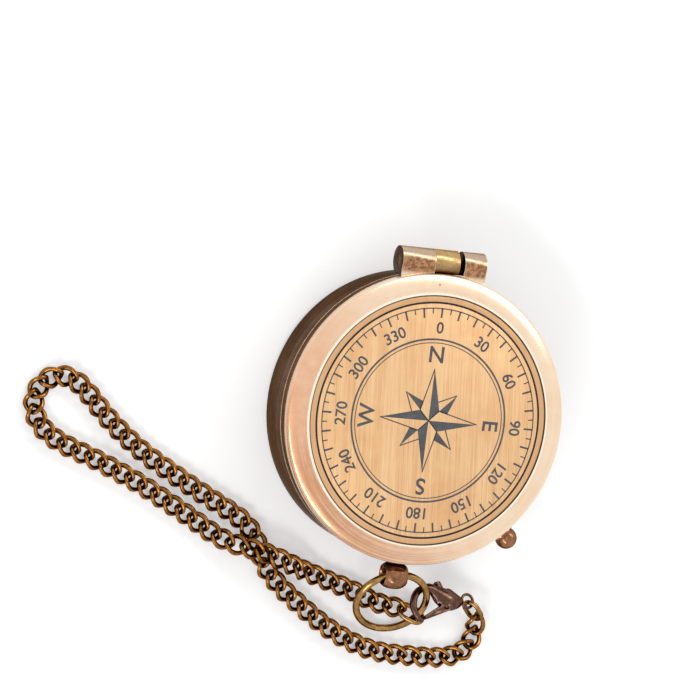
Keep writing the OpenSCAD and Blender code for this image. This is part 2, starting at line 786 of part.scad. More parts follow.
// Where the jump link, the clasp and the clasp's link lie; the chain runs from the one to the other
jump_point = bow_point(jump_at_angle);
jump_side = unit([-jump_pull.y, jump_pull.x, 0]);
jump_e2 = jump_side * cos(jump_roll_angle) + cross(jump_pull, jump_side) * sin(jump_roll_angle);
jump_shift = (jump_in_len - bow_wire) / 2 - end_play;
clasp_origin = bow_point(clasp_at_angle) - spin(flat(clasp_seat_share * hook_r), clasp_lean_angles);
tail_point = clasp_origin + spin(flat(tail_share * hook_r), clasp_lean_angles);
clasp_side = unit([-clasp_pull.y, clasp_pull.x, 0]);
clasp_link_e2 = clasp_side * cos(clasp_link_roll_angle)
    + cross(clasp_pull, clasp_side) * sin(clasp_link_roll_angle);
clasp_link_at = tail_point + (tail_r - (tail_wire - clasp_link_in_len) / 2 - end_play) * clasp_pull;

// The curb chain
link_lead = link_half - link_pitch / 2;
chain_from = jump_point + (jump_shift + jump_in_len / 2 - end_play - chain_r + link_lead) * jump_pull;
chain_to = clasp_link_at + (clasp_link_in_len / 2 - end_play - chain_r + link_lead) * clasp_pull;
route = curve(concat([chain_from], route_middle, [chain_to]), route_steps);
route_at = lengths(route);
route_len = route_at[len(route_at) - 1];
link_count = round(route_len / link_pitch);
link_ends = [for (i = [0 : link_count]) place(route, route_at, min(i / link_count, 0.99999) * route_len)];

module curb_link() {
    turns = [for (k = [0 : link_rings - 1]) 360 * k / link_rings];
    oval = [for (t = turns) [link_half * cos(t), link_half_w * sin(t), 0]];
    middle = [for (k = [0 : link_rings - 1]) spin_x(oval[k], link_twist_angle * cos(turns[k]))];
    up = [for (t = turns) spin_x([0, 0, 1], link_twist_angle * cos(t))];
    sweep(middle, link_sides, chain_r, up, true);
}

module curb_links(first, last) {
    for (i = [first : last]) {
        step = link_ends[i + 1] - link_ends[i];
        translate((link_ends[i] + link_ends[i + 1]) / 2)
            rotate([0, -asin(step.z / norm(step)), atan2(step.y, step.x)]) curb_link();
    }
}

run_split = floor(link_count / 2);
module chain_ring_end() { color("#b0803a") curb_links(0, end_links - 1); }
module chain_rear_run() { color("#b0803a") curb_links(end_links, run_split); }
module chain_front_run() { color("#b0803a") curb_links(run_split + 1, link_count - end_links - 1); }
module chain_clasp_end() { color("#b0803a") curb_links(link_count - end_links, link_count - 1); }

// The jump link, from the bow ring's wire towards the chain's first link
module jump_link() {
    color("#b0803a")
    multmatrix(columns(jump_pull, jump_e2, cross(jump_pull, jump_e2), jump_point + jump_shift * jump_pull))
        oval_link(jump_in_len, jump_in_w, jump_wire);
}

// The clasp lies in its own plane, placed so that the bow ring's wire passes through its hook
module in_clasp() { translate(clasp_origin) rotate(clasp_lean_angles) children(); }

// The body's stations: the place of its middle, its half width and half thickness there
hook_stations = [
    for (k = [0 : hook_steps])
        let (
            a = hook_from_angle + (hook_to_angle - hook_from_angle) * k / hook_steps,
            tip = min(1, hook_tip_share + k / hook_steps),
            swell = max(0, k / hook_steps - 0.75)
        )
        [[cos(a), sin(a)] * hook_r, hook_stock / 2 * (tip + 2 * swell), hook_stock / 2 * (tip + 1.4 * swell)]
];
body_stations = [
    for (k = [0 : len(spine_shares) - 1])
        [spine_shares[k] * hook_r, clasp_w / 2 * spine_width_shares[k], clasp_t / 2 * spine_depth_shares[k]]
];

module clasp_solid() {
    at = concat(hook_stations, body_stations);
    n = len(at);
    rings = [
        for (k = [0 : n - 1])
            let (along = unit(at[min(k + 1, n - 1)][0] - at[max(k - 1, 0)][0]), out = [along.y, -along.x])
            for (j = [0 : clasp_sides - 1])
                let (a = 360 * (j + 0.5) / clasp_sides, p = at[k][0] + at[k][1] * cos(a) * out)
                [p.x, p.y, at[k][2] * sin(a)]
    ];
    polyhedron(rings, concat(side_faces(n, clasp_sides, false), end_faces(n, clasp_sides)), convexity = 6);
}

module clasp_body() {
    color("#5b4038")
    in_clasp()
        difference() {
            union() {
                clasp_solid();
                translate(flat(tail_share * hook_r))
                    rotate_extrude() translate([tail_r, 0]) circle(r = tail_wire / 2);
            }
            translate([0, 0, -gate_slot_t / 2]) linear_extrude(gate_slot_t) {
                polygon(gate_outline(swing_gap, gate_open_angle));
                translate(gate_spring_share * hook_r - [gate_spring_d, gate_spring_d / 2 + run_gap])
                    square([gate_spring_len_share * hook_r + gate_spring_d, gate_spring_d + 2 * run_gap]);
            }
            translate([gate_pivot.x, gate_pivot.y, -clasp_t])
                cylinder(d = gate_pin_d + 2 * bore_clear, h = 2 * clasp_t);
        }
}

// The gate's outline: an arm to the hook's tip and a lever for the thumb, both wider at the pivot.
// With an opening angle it covers the room that the gate needs on its way.
function turned(p, a) = let (v = p - gate_pivot)
    gate_pivot + [v.x * cos(a) - v.y * sin(a), v.x * sin(a) + v.y * cos(a)];
function side_of(p) = let (v = unit(p - gate_pivot)) [-v.y, v.x];
function heading(v) = atan2(v.y, v.x);
function meet(p, u, q, v) = p + u * cross(q - p, v) / cross(u, v);
function gate_outline(grow, opened) =
    let (
        root = gate_root_w / 2 + grow, tip = gate_tip_w / 2 + grow, top = thumb_w / 2 + grow,
        arm = gate_tip, arm_up = turned(gate_tip, -opened),
        lever = thumb, lever_back = turned(thumb, -opened),
        low = side_of(arm), high = side_of(arm_up), left = side_of(lever), right = side_of(lever_back),
        a = heading(low), b = heading(-right), c = heading(-left),
        corner_a = lever + left * top, corner_b = arm_up - high * tip
    )
    concat(
        arc(arm, tip, a - 180, a, 6),
        arc(gate_pivot, root, a, b, 6),
        arc(lever_back, top, b, b + lever_round_angle, 2),
        arc(lever, top, c + 90, c + 180, 3),
        [meet(corner_a, gate_pivot + left * root - corner_a, corner_b, gate_pivot - high * root - corner_b)],
        opened > 0 ? [corner_b] : []
    );

module clasp_gate() {
    color("#4b342e")
    in_clasp()
        difference() {
            translate([0, 0, -gate_t / 2]) linear_extrude(gate_t) polygon(gate_outline(0, 0));
            translate([gate_pivot.x, gate_pivot.y, -gate_t])
                cylinder(d = gate_pin_d + 2 * run_gap, h = 2 * gate_t);
        }
}

module gate_pin() {
    color("#7a5a4c")
    in_clasp() translate([gate_pivot.x, gate_pivot.y, -0.4 * clasp_t])
        cylinder(d = gate_pin_d, h = 0.8 * clasp_t);
}

module gate_spring() {
    color("#8f959a")
    in_clasp()
        translate(flat(gate_spring_share * hook_r))
            rotate([0, 90, 0])
                coil(gate_spring_d, spring_wire, spring_turns, gate_spring_len_share * hook_r - seat_gap);
}

// The small link between the clasp's tail and the chain
module clasp_link() {
    color("#b0803a")
    multmatrix(columns(clasp_pull, clasp_link_e2, cross(clasp_pull, clasp_link_e2), clasp_link_at))
        oval_link(clasp_link_in_len, clasp_link_in_w, jump_wire);
}

echo(links = link_count, pitch = route_len / link_count, chain_length = route_len, droop = bow_droop_angle);
echo(jump_point = jump_point, tail_point = tail_point, clasp_origin = clasp_origin);

case_body();
bezel_ring();
crystal();
crystal_gasket();
chapter_ring();
dial_seat_ring();
dial_plate();
pivot_base();
pivot_pin();
needle();
needle_hub();
hub_jewel();
lid_ring();
lid_disc();
lid_catch();
case_knuckle();
hinge_pin();
crown_flange();
crown_bead();
bow_ring();
button_collar();
push_button();
button_catch();
button_spring();
jump_link();
chain_ring_end();
chain_rear_run();
chain_front_run();
chain_clasp_end();
clasp_link();
clasp_body();
clasp_gate();
gate_pin();
gate_spring();
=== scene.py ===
import json
import math

import bpy
import numpy as np
from mathutils import Matrix, Vector

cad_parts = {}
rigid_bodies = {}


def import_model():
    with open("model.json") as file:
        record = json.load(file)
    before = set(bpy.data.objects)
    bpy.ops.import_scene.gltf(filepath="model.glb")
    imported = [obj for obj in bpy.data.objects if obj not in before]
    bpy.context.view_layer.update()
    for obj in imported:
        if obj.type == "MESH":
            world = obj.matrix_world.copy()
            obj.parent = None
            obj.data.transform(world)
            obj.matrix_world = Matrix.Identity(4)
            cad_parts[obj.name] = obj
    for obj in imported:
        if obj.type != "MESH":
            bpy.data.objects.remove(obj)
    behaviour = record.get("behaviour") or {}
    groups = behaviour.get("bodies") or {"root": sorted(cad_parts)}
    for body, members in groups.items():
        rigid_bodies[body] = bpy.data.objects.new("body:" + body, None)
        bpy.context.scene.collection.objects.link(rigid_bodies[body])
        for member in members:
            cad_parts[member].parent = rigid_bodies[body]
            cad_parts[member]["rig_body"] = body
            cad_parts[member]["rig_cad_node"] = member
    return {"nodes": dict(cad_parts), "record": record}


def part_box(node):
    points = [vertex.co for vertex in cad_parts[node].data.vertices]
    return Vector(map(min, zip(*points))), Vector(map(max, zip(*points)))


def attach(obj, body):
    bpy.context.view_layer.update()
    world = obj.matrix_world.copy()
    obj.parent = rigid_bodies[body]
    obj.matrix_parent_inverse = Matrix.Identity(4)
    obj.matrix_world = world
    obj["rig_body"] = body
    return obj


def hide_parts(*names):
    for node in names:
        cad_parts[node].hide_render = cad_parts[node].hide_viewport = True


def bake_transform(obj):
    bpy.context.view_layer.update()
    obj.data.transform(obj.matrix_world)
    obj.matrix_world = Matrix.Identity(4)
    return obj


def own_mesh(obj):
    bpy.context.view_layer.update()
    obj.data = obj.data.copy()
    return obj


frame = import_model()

mm = 0.001
nodes = frame["nodes"]
record = frame["record"]
scene = bpy.context.scene
slotOf = {part["node"]: part["material_slot"] for part in record["subparts"]}
bodyOf = {name: body for body, names in record["behaviour"]["bodies"].items() for name in names}


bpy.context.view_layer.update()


# Selecting and editing

def selectOnly(piece, *others):
    if bpy.context.object and bpy.context.object.mode != "OBJECT":
        bpy.ops.object.mode_set(mode="OBJECT")
    bpy.ops.object.select_all(action="DESELECT")
    for other in others:
        other.select_set(True)
    if piece:
        piece.select_set(True)
        bpy.context.view_layer.objects.active = piece


def editAll():
    bpy.ops.object.mode_set(mode="EDIT")
    bpy.ops.mesh.select_all(action="SELECT")


def objectMode():
    bpy.ops.object.mode_set(mode="OBJECT")


def settle(piece):
    # the place goes into the mesh, and the object comes back to the origin
    selectOnly(piece)
    bpy.ops.object.transform_apply(location=True, rotation=True, scale=True)


def joined(pieces, name):
    selectOnly(pieces[0], *pieces[1:])
    if len(pieces) > 1:
        bpy.ops.object.join()
    piece = bpy.context.object
    piece.name = name
    piece.data.name = name
    return piece


def copied(piece):
    twin = piece.copy()
    twin.data = piece.data.copy()
    scene.collection.objects.link(twin)
    return twin


def smoothed(piece, degrees):
    selectOnly(piece)
    bpy.ops.object.shade_smooth_by_angle(angle=math.radians(degrees))


def applied(piece, modifier):
    selectOnly(piece)
    bpy.ops.object.modifier_apply(modifier=modifier.name)


def softenEdges(piece, width, degrees):
    bevel = piece.modifiers.new("softEdge", "BEVEL")
    bevel.width = width
    bevel.segments = dressValues["bevelSteps"]
    bevel.limit_method = "ANGLE"
    bevel.angle_limit = math.radians(degrees)
    bevel.use_clamp_overlap = True
    applied(piece, bevel)


# Drawing with single points, as when an outline is traced by hand

def drawOutline(name, points):
    selectOnly(None)
    bpy.ops.mesh.primitive_plane_add(size=mm, location=points[0])
    piece = bpy.context.object
    piece.name = name
    editAll()
    bpy.ops.mesh.merge(type="CENTER")
    here = Vector(points[0])
    for point in points[1:]:
        bpy.ops.mesh.extrude_vertices_move(TRANSFORM_OT_translate={"value": Vector(point) - here})
        here = Vector(point)
    bpy.ops.mesh.select_all(action="SELECT")
    bpy.ops.mesh.edge_face_add()
    objectMode()
    settle(piece)
    return piece


def raised(piece, height):
    # a flat outline gets its thickness upwards
    selectOnly(piece)
    editAll()
    bpy.ops.mesh.normals_make_consistent(inside=False)
    bpy.ops.mesh.extrude_region_move(TRANSFORM_OT_translate={"value": (0, 0, height)})
    bpy.ops.mesh.select_all(action="SELECT")
    bpy.ops.mesh.normals_make_consistent(inside=False)
    objectMode()
    return piece


def turnedCopies(piece, count, first):
    # the same shape set round the compass axis; each copy has its own mesh
    pieces = []
    for step in range(count):
        twin = copied(piece)
        twin.rotation_euler = (0, 0, -math.radians(first + 360.0 * step / count))
        settle(twin)
        pieces.append(twin)
    bpy.data.objects.remove(piece)
    return pieces


textShares = {"bolder": 0.017, "merge": 0.0002}        # of a letter's size


def textMesh(words, size, depth):
    selectOnly(None)
    bpy.ops.object.text_add()
    piece = bpy.context.object
    piece.data.body = words
    piece.data.align_x = "CENTER"
    piece.data.align_y = "CENTER"
    piece.data.size = size
    piece.data.extrude = depth / 2
    bpy.ops.object.convert(target="MESH")
    # made a little bolder by moving its merged outline outwards, then brought back to its depth
    bolder = size * textShares["bolder"]
    editAll()
    bpy.ops.mesh.remove_doubles(threshold=size * textShares["merge"])
    bpy.ops.transform.shrink_fatten(value=bolder, use_even_offset=True)
    bpy.ops.transform.resize(value=(1, 1, depth / (depth + 2 * bolder)), center_override=(0, 0, 0))
    objectMode()
    return bpy.context.object


def placedText(words, size, depth, radius, degrees, height):
    piece = textMesh(words, size, depth)
    angle = math.radians(degrees)
    piece.location = (radius * math.sin(angle), radius * math.cos(angle), height)
    piece.rotation_euler = (0, 0, -angle)
    settle(piece)
    return piece


def onBody(piece, body, material, slotName, *replaced):
    piece.data.materials.clear()
    piece.data.materials.append(material)
    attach(piece, body)
    if replaced:
        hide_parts(*replaced)


# Shader helpers

def newMaterial(name):
    material = bpy.data.materials.new(name)
    material.use_nodes = True
    tree = material.node_tree
    tree.nodes.clear()
    output = tree.nodes.new("ShaderNodeOutputMaterial")
    shader = tree.nodes.new("ShaderNodeBsdfPrincipled")
    tree.links.new(shader.outputs["BSDF"], output.inputs["Surface"])
    return material, tree, shader


def setInput(tree, socket, value):
    # a socket takes a link, a number or a colour
    if hasattr(value, "links"):
        tree.links.new(value, socket)
    elif isinstance(value, (int, float)):
        socket.default_value = value
    else:
        socket.default_value = (*value, 1)


def addGroup(tree, group, **values):
    node = tree.nodes.new("ShaderNodeGroup")
    node.node_tree = group
    for name, value in values.items():
        setInput(tree, node.inputs[name], value)
    return node.outputs


def startGroup(name, inputs, outputs):
    group = bpy.data.node_groups.new(name, "ShaderNodeTree")
    for label, value in inputs.items():
        kind = "NodeSocketVector" if value is None else "NodeSocketFloat"
        socket = group.interface.new_socket(name=label, in_out="INPUT", socket_type=kind)
        if value is not None:
            socket.default_value = value
    for label in outputs:
        group.interface.new_socket(name=label, in_out="OUTPUT", socket_type="NodeSocketFloat")
    start = group.nodes.new("NodeGroupInput")
    end = group.nodes.new("NodeGroupOutput")
    return group, start.outputs, end.inputs


def mathNode(tree, operation, *values):
    node = tree.nodes.new("ShaderNodeMath")
    node.operation = operation
    for socket, value in zip(node.inputs, values):
        setInput(tree, socket, value)
    return node.outputs[0]


def rampNode(tree, value, low, high, soft=False):
    node = tree.nodes.new("ShaderNodeMapRange")
    if soft:
        node.interpolation_type = "SMOOTHSTEP"
    setInput(tree, node.inputs["Value"], value)
    setInput(tree, node.inputs["From Min"], low)
    setInput(tree, node.inputs["From Max"], high)
    return node.outputs["Result"]


def bandMask(tree, value, low, high, soft):
    # 1 between two values, with soft borders
    up = rampNode(tree, value, low - soft, low + soft)
    down = rampNode(tree, value, high - soft, high + soft)
    return mathNode(tree, "MULTIPLY", up, mathNode(tree, "SUBTRACT", 1.0, down))


def brokenUp(tree, mask, pattern, gain, base):
    # a mask made uneven by a pattern
    return mathNode(tree, "MULTIPLY", mask, mathNode(tree, "MULTIPLY_ADD", pattern, gain, base))


def mixColour(tree, factor, first, second):
    node = tree.nodes.new("ShaderNodeMix")
    node.data_type = "RGBA"
    for socket, value in ((node.inputs[0], factor), (node.inputs[6], first), (node.inputs[7], second)):
        setInput(tree, socket, value)
    return node.outputs[2]


def tinted(tree, colour, mask, share, tint):
    # a share of the tint laid over the colour where the mask is 1
    return mixColour(tree, mathNode(tree, "MULTIPLY", mask, share), colour, tint)


def noiseNode(tree, vector, scale, detail=3.0, roughness=0.5):
    node = tree.nodes.new("ShaderNodeTexNoise")
    tree.links.new(vector, node.inputs["Vector"])
    setInput(tree, node.inputs["Scale"], scale)
    node.inputs["Detail"].default_value = detail
    node.inputs["Roughness"].default_value = roughness
    return node.outputs["Fac"]


def splitVector(tree, vector):
    node = tree.nodes.new("ShaderNodeSeparateXYZ")
    tree.links.new(vector, node.inputs[0])
    return node.outputs


def combineVector(tree, *values):
    node = tree.nodes.new("ShaderNodeCombineXYZ")
    for socket, value in zip(node.inputs, values):
        tree.links.new(value, socket)
    return node.outputs[0]


def partPlace(tree, turn=(0, 0, 0), move=(0, 0, 0)):
    coordinates = tree.nodes.new("ShaderNodeTexCoord")
    mapping = tree.nodes.new("ShaderNodeMapping")
    mapping.vector_type = "TEXTURE"
    mapping.inputs["Rotation"].default_value = [math.radians(value) for value in turn]
    mapping.inputs["Location"].default_value = move
    tree.links.new(coordinates.outputs["Object"], mapping.inputs["Vector"])
    return mapping.outputs["Vector"]


def bumpFrom(tree, shader, height, distance):
    bump = tree.nodes.new("ShaderNodeBump")
    bump.inputs["Distance"].default_value = distance
    tree.links.new(height, bump.inputs["Height"])
    tree.links.new(bump.outputs["Normal"], shader.inputs["Normal"])


# Node groups, built once and shared; their sizes are in millimetres and become waves per metre

perMetre = 1000.0


def buildBlotches():
    # patches of tarnish in two sizes, 0 bare to 1 dark
    values = {"finer": 5.0, "bigShare": 0.65, "smallShare": 0.35, "border": 0.16}
    group, start, end = startGroup(
        "tarnishBlotches", {"Vector": None, "Size": 4.0, "Cover": 0.5}, ("Mask", "Fine"))
    frequency = mathNode(group, "DIVIDE", perMetre, start["Size"])
    big = noiseNode(group, start["Vector"], frequency, detail=4.0, roughness=0.6)
    small = noiseNode(group, start["Vector"], mathNode(group, "MULTIPLY", frequency, values["finer"]))
    bigPart = mathNode(group, "MULTIPLY", big, values["bigShare"])
    both = mathNode(group, "MULTIPLY_ADD", small, values["smallShare"], bigPart)
    edge = mathNode(group, "SUBTRACT", 1.0, start["Cover"])
    low = mathNode(group, "SUBTRACT", edge, values["border"])
    high = mathNode(group, "ADD", edge, values["border"])
    group.links.new(rampNode(group, both, low, high, soft=True), end["Mask"])
    group.links.new(small, end["Fine"])
    return group


def twoGrains(group, place, coarseScale):
    # fine scratches with coarser ones among them
    shares = {"fine": 0.6, "coarse": 0.4}
    fine = noiseNode(group, place, 1.0, detail=2.0)
    coarse = noiseNode(group, place, coarseScale, detail=1.0)
    coarsePart = mathNode(group, "MULTIPLY", coarse, shares["coarse"])
    return mathNode(group, "MULTIPLY_ADD", fine, shares["fine"], coarsePart)


def buildStraightGrain():
    # fine parallel scratches along Y of the vector that comes in
    group, start, end = startGroup(
        "straightGrain", {"Vector": None, "Pitch": 0.1, "Length": 8.0}, ("Grain",))
    x, y, z = splitVector(group, start["Vector"])
    across = mathNode(group, "DIVIDE", perMetre, start["Pitch"])
    along = mathNode(group, "DIVIDE", perMetre, start["Length"])
    pairs = ((x, across), (y, along), (z, across))
    place = combineVector(group, *(mathNode(group, "MULTIPLY", *pair) for pair in pairs))
    group.links.new(twoGrains(group, place, coarseScale=0.23), end["Grain"])
    return group


def buildTurnedGrain():
    # scratches that run round the Z axis, as a lathe or a buffing wheel leaves them
    nearAxis = 0.1 * mm
    group, start, end = startGroup(
        "turnedGrain", {"Vector": None, "Pitch": 0.1, "Breaks": 3.0}, ("Grain", "Radius", "Height"))
    x, y, z = splitVector(group, start["Vector"])
    squares = mathNode(group, "MULTIPLY_ADD", y, y, mathNode(group, "MULTIPLY", x, x))
    radius = mathNode(group, "SQRT", squares)
    around = mathNode(group, "DIVIDE", y, mathNode(group, "MAXIMUM", radius, nearAxis))
    across = mathNode(group, "DIVIDE", perMetre, start["Pitch"])
    pairs = ((radius, across), (z, across), (around, start["Breaks"]))
    place = combineVector(group, *(mathNode(group, "MULTIPLY", *pair) for pair in pairs))
    group.links.new(twoGrains(group, place, coarseScale=0.21), end["Grain"])
    group.links.new(radius, end["Radius"])
    group.links.new(z, end["Height"])
    return group


def buildRecess():
    # patina in hollows with painted shade between close pieces: 1 in hollows and between pieces that lie
    # close together, 0 in the open
    group, start, end = startGroup("hollowPatinaAndShade", {"Distance": 0.001, "Open": 0.85}, ("Mask",))
    shade = group.nodes.new("ShaderNodeAmbientOcclusion")
    shade.samples = 6
    group.links.new(start["Distance"], shade.inputs["Distance"])
    fullyDark = 0.25
    light = rampNode(group, shade.outputs["AO"], fullyDark, start["Open"], soft=True)
    group.links.new(mathNode(group, "SUBTRACT", 1.0, light), end["Mask"])
    return group


def buildWornEdge():
    # 1 on the edges that hands and pockets rub bright
    group, start, end = startGroup("wornEdge", {"Radius": 0.0003, "Fine": 0.5}, ("Mask",))
    rounded = group.nodes.new("ShaderNodeBevel")
    rounded.samples = 4
    group.links.new(start["Radius"], rounded.inputs["Radius"])
    surface = group.nodes.new("ShaderNodeNewGeometry")
    same = group.nodes.new("ShaderNodeVectorMath")
    same.operation = "DOT_PRODUCT"
    group.links.new(rounded.outputs["Normal"], same.inputs[0])
    group.links.new(surface.outputs["Normal"], same.inputs[1])
    apart = mathNode(group, "SUBTRACT", 1.0, same.outputs["Value"])
    rubbed = brokenUp(group, apart, start["Fine"], gain=1.6, base=0.2)
    wornRamp = (0.01, 0.16)
    group.links.new(rampNode(group, rubbed, *wornRamp), end["Mask"])
    return group


blotches = buildBlotches()
straightGrain = buildStraightGrain()
turnedGrain = buildTurnedGrain()
hollowPatinaAndShade = buildRecess()
wornEdge = buildWornEdge()


# Metals: bare colour and tarnish in blotches, grain in the gloss, and a slight unevenness

streakRamp = (0.36, 0.64)
patchShift = (70.0, 30.0, 0.0)        # so that the patches don't fall on the tarnish


def antiqueMetal(name, finish):
    material, tree, shader = newMaterial(name)
    place = partPlace(tree, finish.get("turn", (0, 0, 0)))
    tarnish = addGroup(tree, blotches, Vector=place, Size=finish["blotchSize"], Cover=finish["cover"])
    if "grainLength" in finish:
        grain = addGroup(
            tree, straightGrain, Vector=place, Pitch=finish["pitch"], Length=finish["grainLength"])
    else:
        grain = addGroup(tree, turnedGrain, Vector=place, Pitch=finish["pitch"])
    streak = rampNode(tree, grain["Grain"], *streakRamp)
    colour = mixColour(tree, streak, finish["bare"], finish["streak"])
    colour = tinted(tree, colour, tarnish["Mask"], finish["depth"], finish["tarnish"])
    if "patch" in finish:
        away = partPlace(tree, move=[value * mm for value in patchShift])
        patch = addGroup(tree, blotches, Vector=away, Size=finish["patchSize"], Cover=finish["patchCover"])
        colour = tinted(tree, colour, patch["Mask"], finish["patchDepth"], finish["patch"])
    # painted shade in hollows and between close pieces, with patina in the hollows
    if "patinaAndShade" in finish:
        reach = finish["patinaAndShadeReach"] * mm
        patinaAndShade = addGroup(tree, hollowPatinaAndShade, Distance=reach, Open=finish.get("patinaAndShadeOpen", 0.85))
        colour = tinted(tree, colour, patinaAndShade["Mask"], finish["patinaAndShadeDepth"], finish["patinaAndShade"])
    if "worn" in finish:
        worn = addGroup(tree, wornEdge, Radius=finish["wornWidth"] * mm, Fine=tarnish["Fine"])
        colour = tinted(tree, colour, worn["Mask"], finish["wornDepth"], finish["worn"])
    tree.links.new(colour, shader.inputs["Base Color"])
    gloss = mathNode(tree, "MULTIPLY_ADD", tarnish["Mask"], finish["dullness"], finish["roughness"])
    gloss = mathNode(tree, "MULTIPLY_ADD", streak, finish["grainGloss"], gloss)
    tree.links.new(gloss, shader.inputs["Roughness"])
    shader.inputs["Metallic"].default_value = 1.0
    # an old brown skin reflects less white at a glancing look than clean metal
    setInput(tree, shader.inputs["Specular Tint"], finish.get("rimTint", (1, 1, 1)))
    height = mathNode(tree, "MULTIPLY_ADD", tarnish["Fine"], finish["dent"], grain["Grain"])
    bumpFrom(tree, shader, height, finish["bump"] * mm)
    return material, tree, shader, colour, tarnish, grain


def leanRamp(tree, place, lean, reach):
    # 0 to 1 over a stretch of a level direction
    x, y = splitVector(tree, place)[:2]
    across = mathNode(tree, "MULTIPLY_ADD", x, lean[0], mathNode(tree, "MULTIPLY", y, lean[1]))
    return rampNode(tree, across, reach[0] * mm, reach[1] * mm)


lidZones = {
    # the rose colour towards the left is painted shade
    "leftShade": (0.76, 0.38, 0.215), "leftShadeLean": (-0.88, -0.47), "leftShadeReach": (-4.0, 26.0),
    "darkStrokes": (0.36, 0.165, 0.08), "darkStrokesLean": (-0.52, -0.85), "darkStrokesReach": (14.0, 23.5),
    "strokeRamp": (0.42, 0.6),
    "pit": (0.16, 0.07, 0.04), "pitPlace": (-0.97, 23.25, 14.4), "pitReach": (0.12, 0.32),
    "pitDepth": 0.85,
    "side": (0.66, 0.54, 0.38), "sideTop": 13.0, "speckleScale": 2600.0, "speckleRamp": (0.35, 0.6),
    # the near-white bead colour is a painted highlight
    "bead": (0.99, 0.93, 0.80), "beadReach": (21.5, 21.88), "beadSoft": 0.03, "beadDepth": 0.9,
    "hinge": (0.20, 0.085, 0.042), "hingeSpot": (0.62, 0.34, 0.17), "hingeReach": (24.6, 25.1),
    "mottleSize": 0.7, "mottleCover": 0.48,
    "hingeTop": (0.55, 0.45, 0.35), "crestReach": (27.1, 28.3), "crestDepth": 0.75,
    "rubWidth": 0.35, "rubDepth": 0.9, "rimTint": (0.5, 0.38, 0.3),
    "endCap": (0.06, 0.034, 0.023), "capFacing": 0.93, "capFrom": 22.0, "capTint": (0.6, 0.56, 0.54),
}


def rimStains(tree, colour, place, tarnish, grain):
    # painted shade on the left, rosier and darker; darker brown strokes towards the crown; and one small pit
    # by the hinge
    zones = lidZones
    # painted shade: the left side of the rim is made rosier and darker
    leftShadeMask = leanRamp(tree, place, zones["leftShadeLean"], zones["leftShadeReach"])
    leftShadeMask = brokenUp(tree, leftShadeMask, tarnish["Fine"], gain=0.9, base=0.45)
    colour = mixColour(tree, leftShadeMask, colour, zones["leftShade"])
    # darker brown strokes in the grain towards the lower left, by the crown
    darkStrokes = leanRamp(tree, place, zones["darkStrokesLean"], zones["darkStrokesReach"])
    strokes = rampNode(tree, grain["Grain"], *zones["strokeRamp"])
    darkStrokes = brokenUp(tree, darkStrokes, strokes, gain=0.6, base=0.1)
    colour = mixColour(tree, darkStrokes, colour, zones["darkStrokes"])
    pit = tree.nodes.new("ShaderNodeVectorMath")
    pit.operation = "DISTANCE"
    tree.links.new(place, pit.inputs[0])
    pit.inputs[1].default_value = Vector(zones["pitPlace"]) * mm
    inner, outer = zones["pitReach"]
    away = rampNode(tree, pit.outputs["Value"], inner * mm, outer * mm)
    near = mathNode(tree, "SUBTRACT", 1.0, away)
    return tinted(tree, colour, near, zones["pitDepth"], zones["pit"])


def sideAndBead(tree, colour, place, grain):
    # the upright side is paler and speckled; the bead round the disc gets a painted highlight, a near-white
    # band
    zones = lidZones
    low = mathNode(tree, "LESS_THAN", grain["Height"], zones["sideTop"] * mm)
    specks = noiseNode(tree, place, zones["speckleScale"], detail=2.0, roughness=0.7)
    speckle = rampNode(tree, specks, *zones["speckleRamp"])
    colour = mixColour(tree, brokenUp(tree, low, speckle, gain=0.5, base=0.35), colour, zones["side"])
    # painted highlight: a near-white band on the bead
    inner, outer = zones["beadReach"]
    bead = bandMask(tree, grain["Radius"], inner * mm, outer * mm, zones["beadSoft"] * mm)
    return tinted(tree, colour, bead, zones["beadDepth"], zones["bead"])


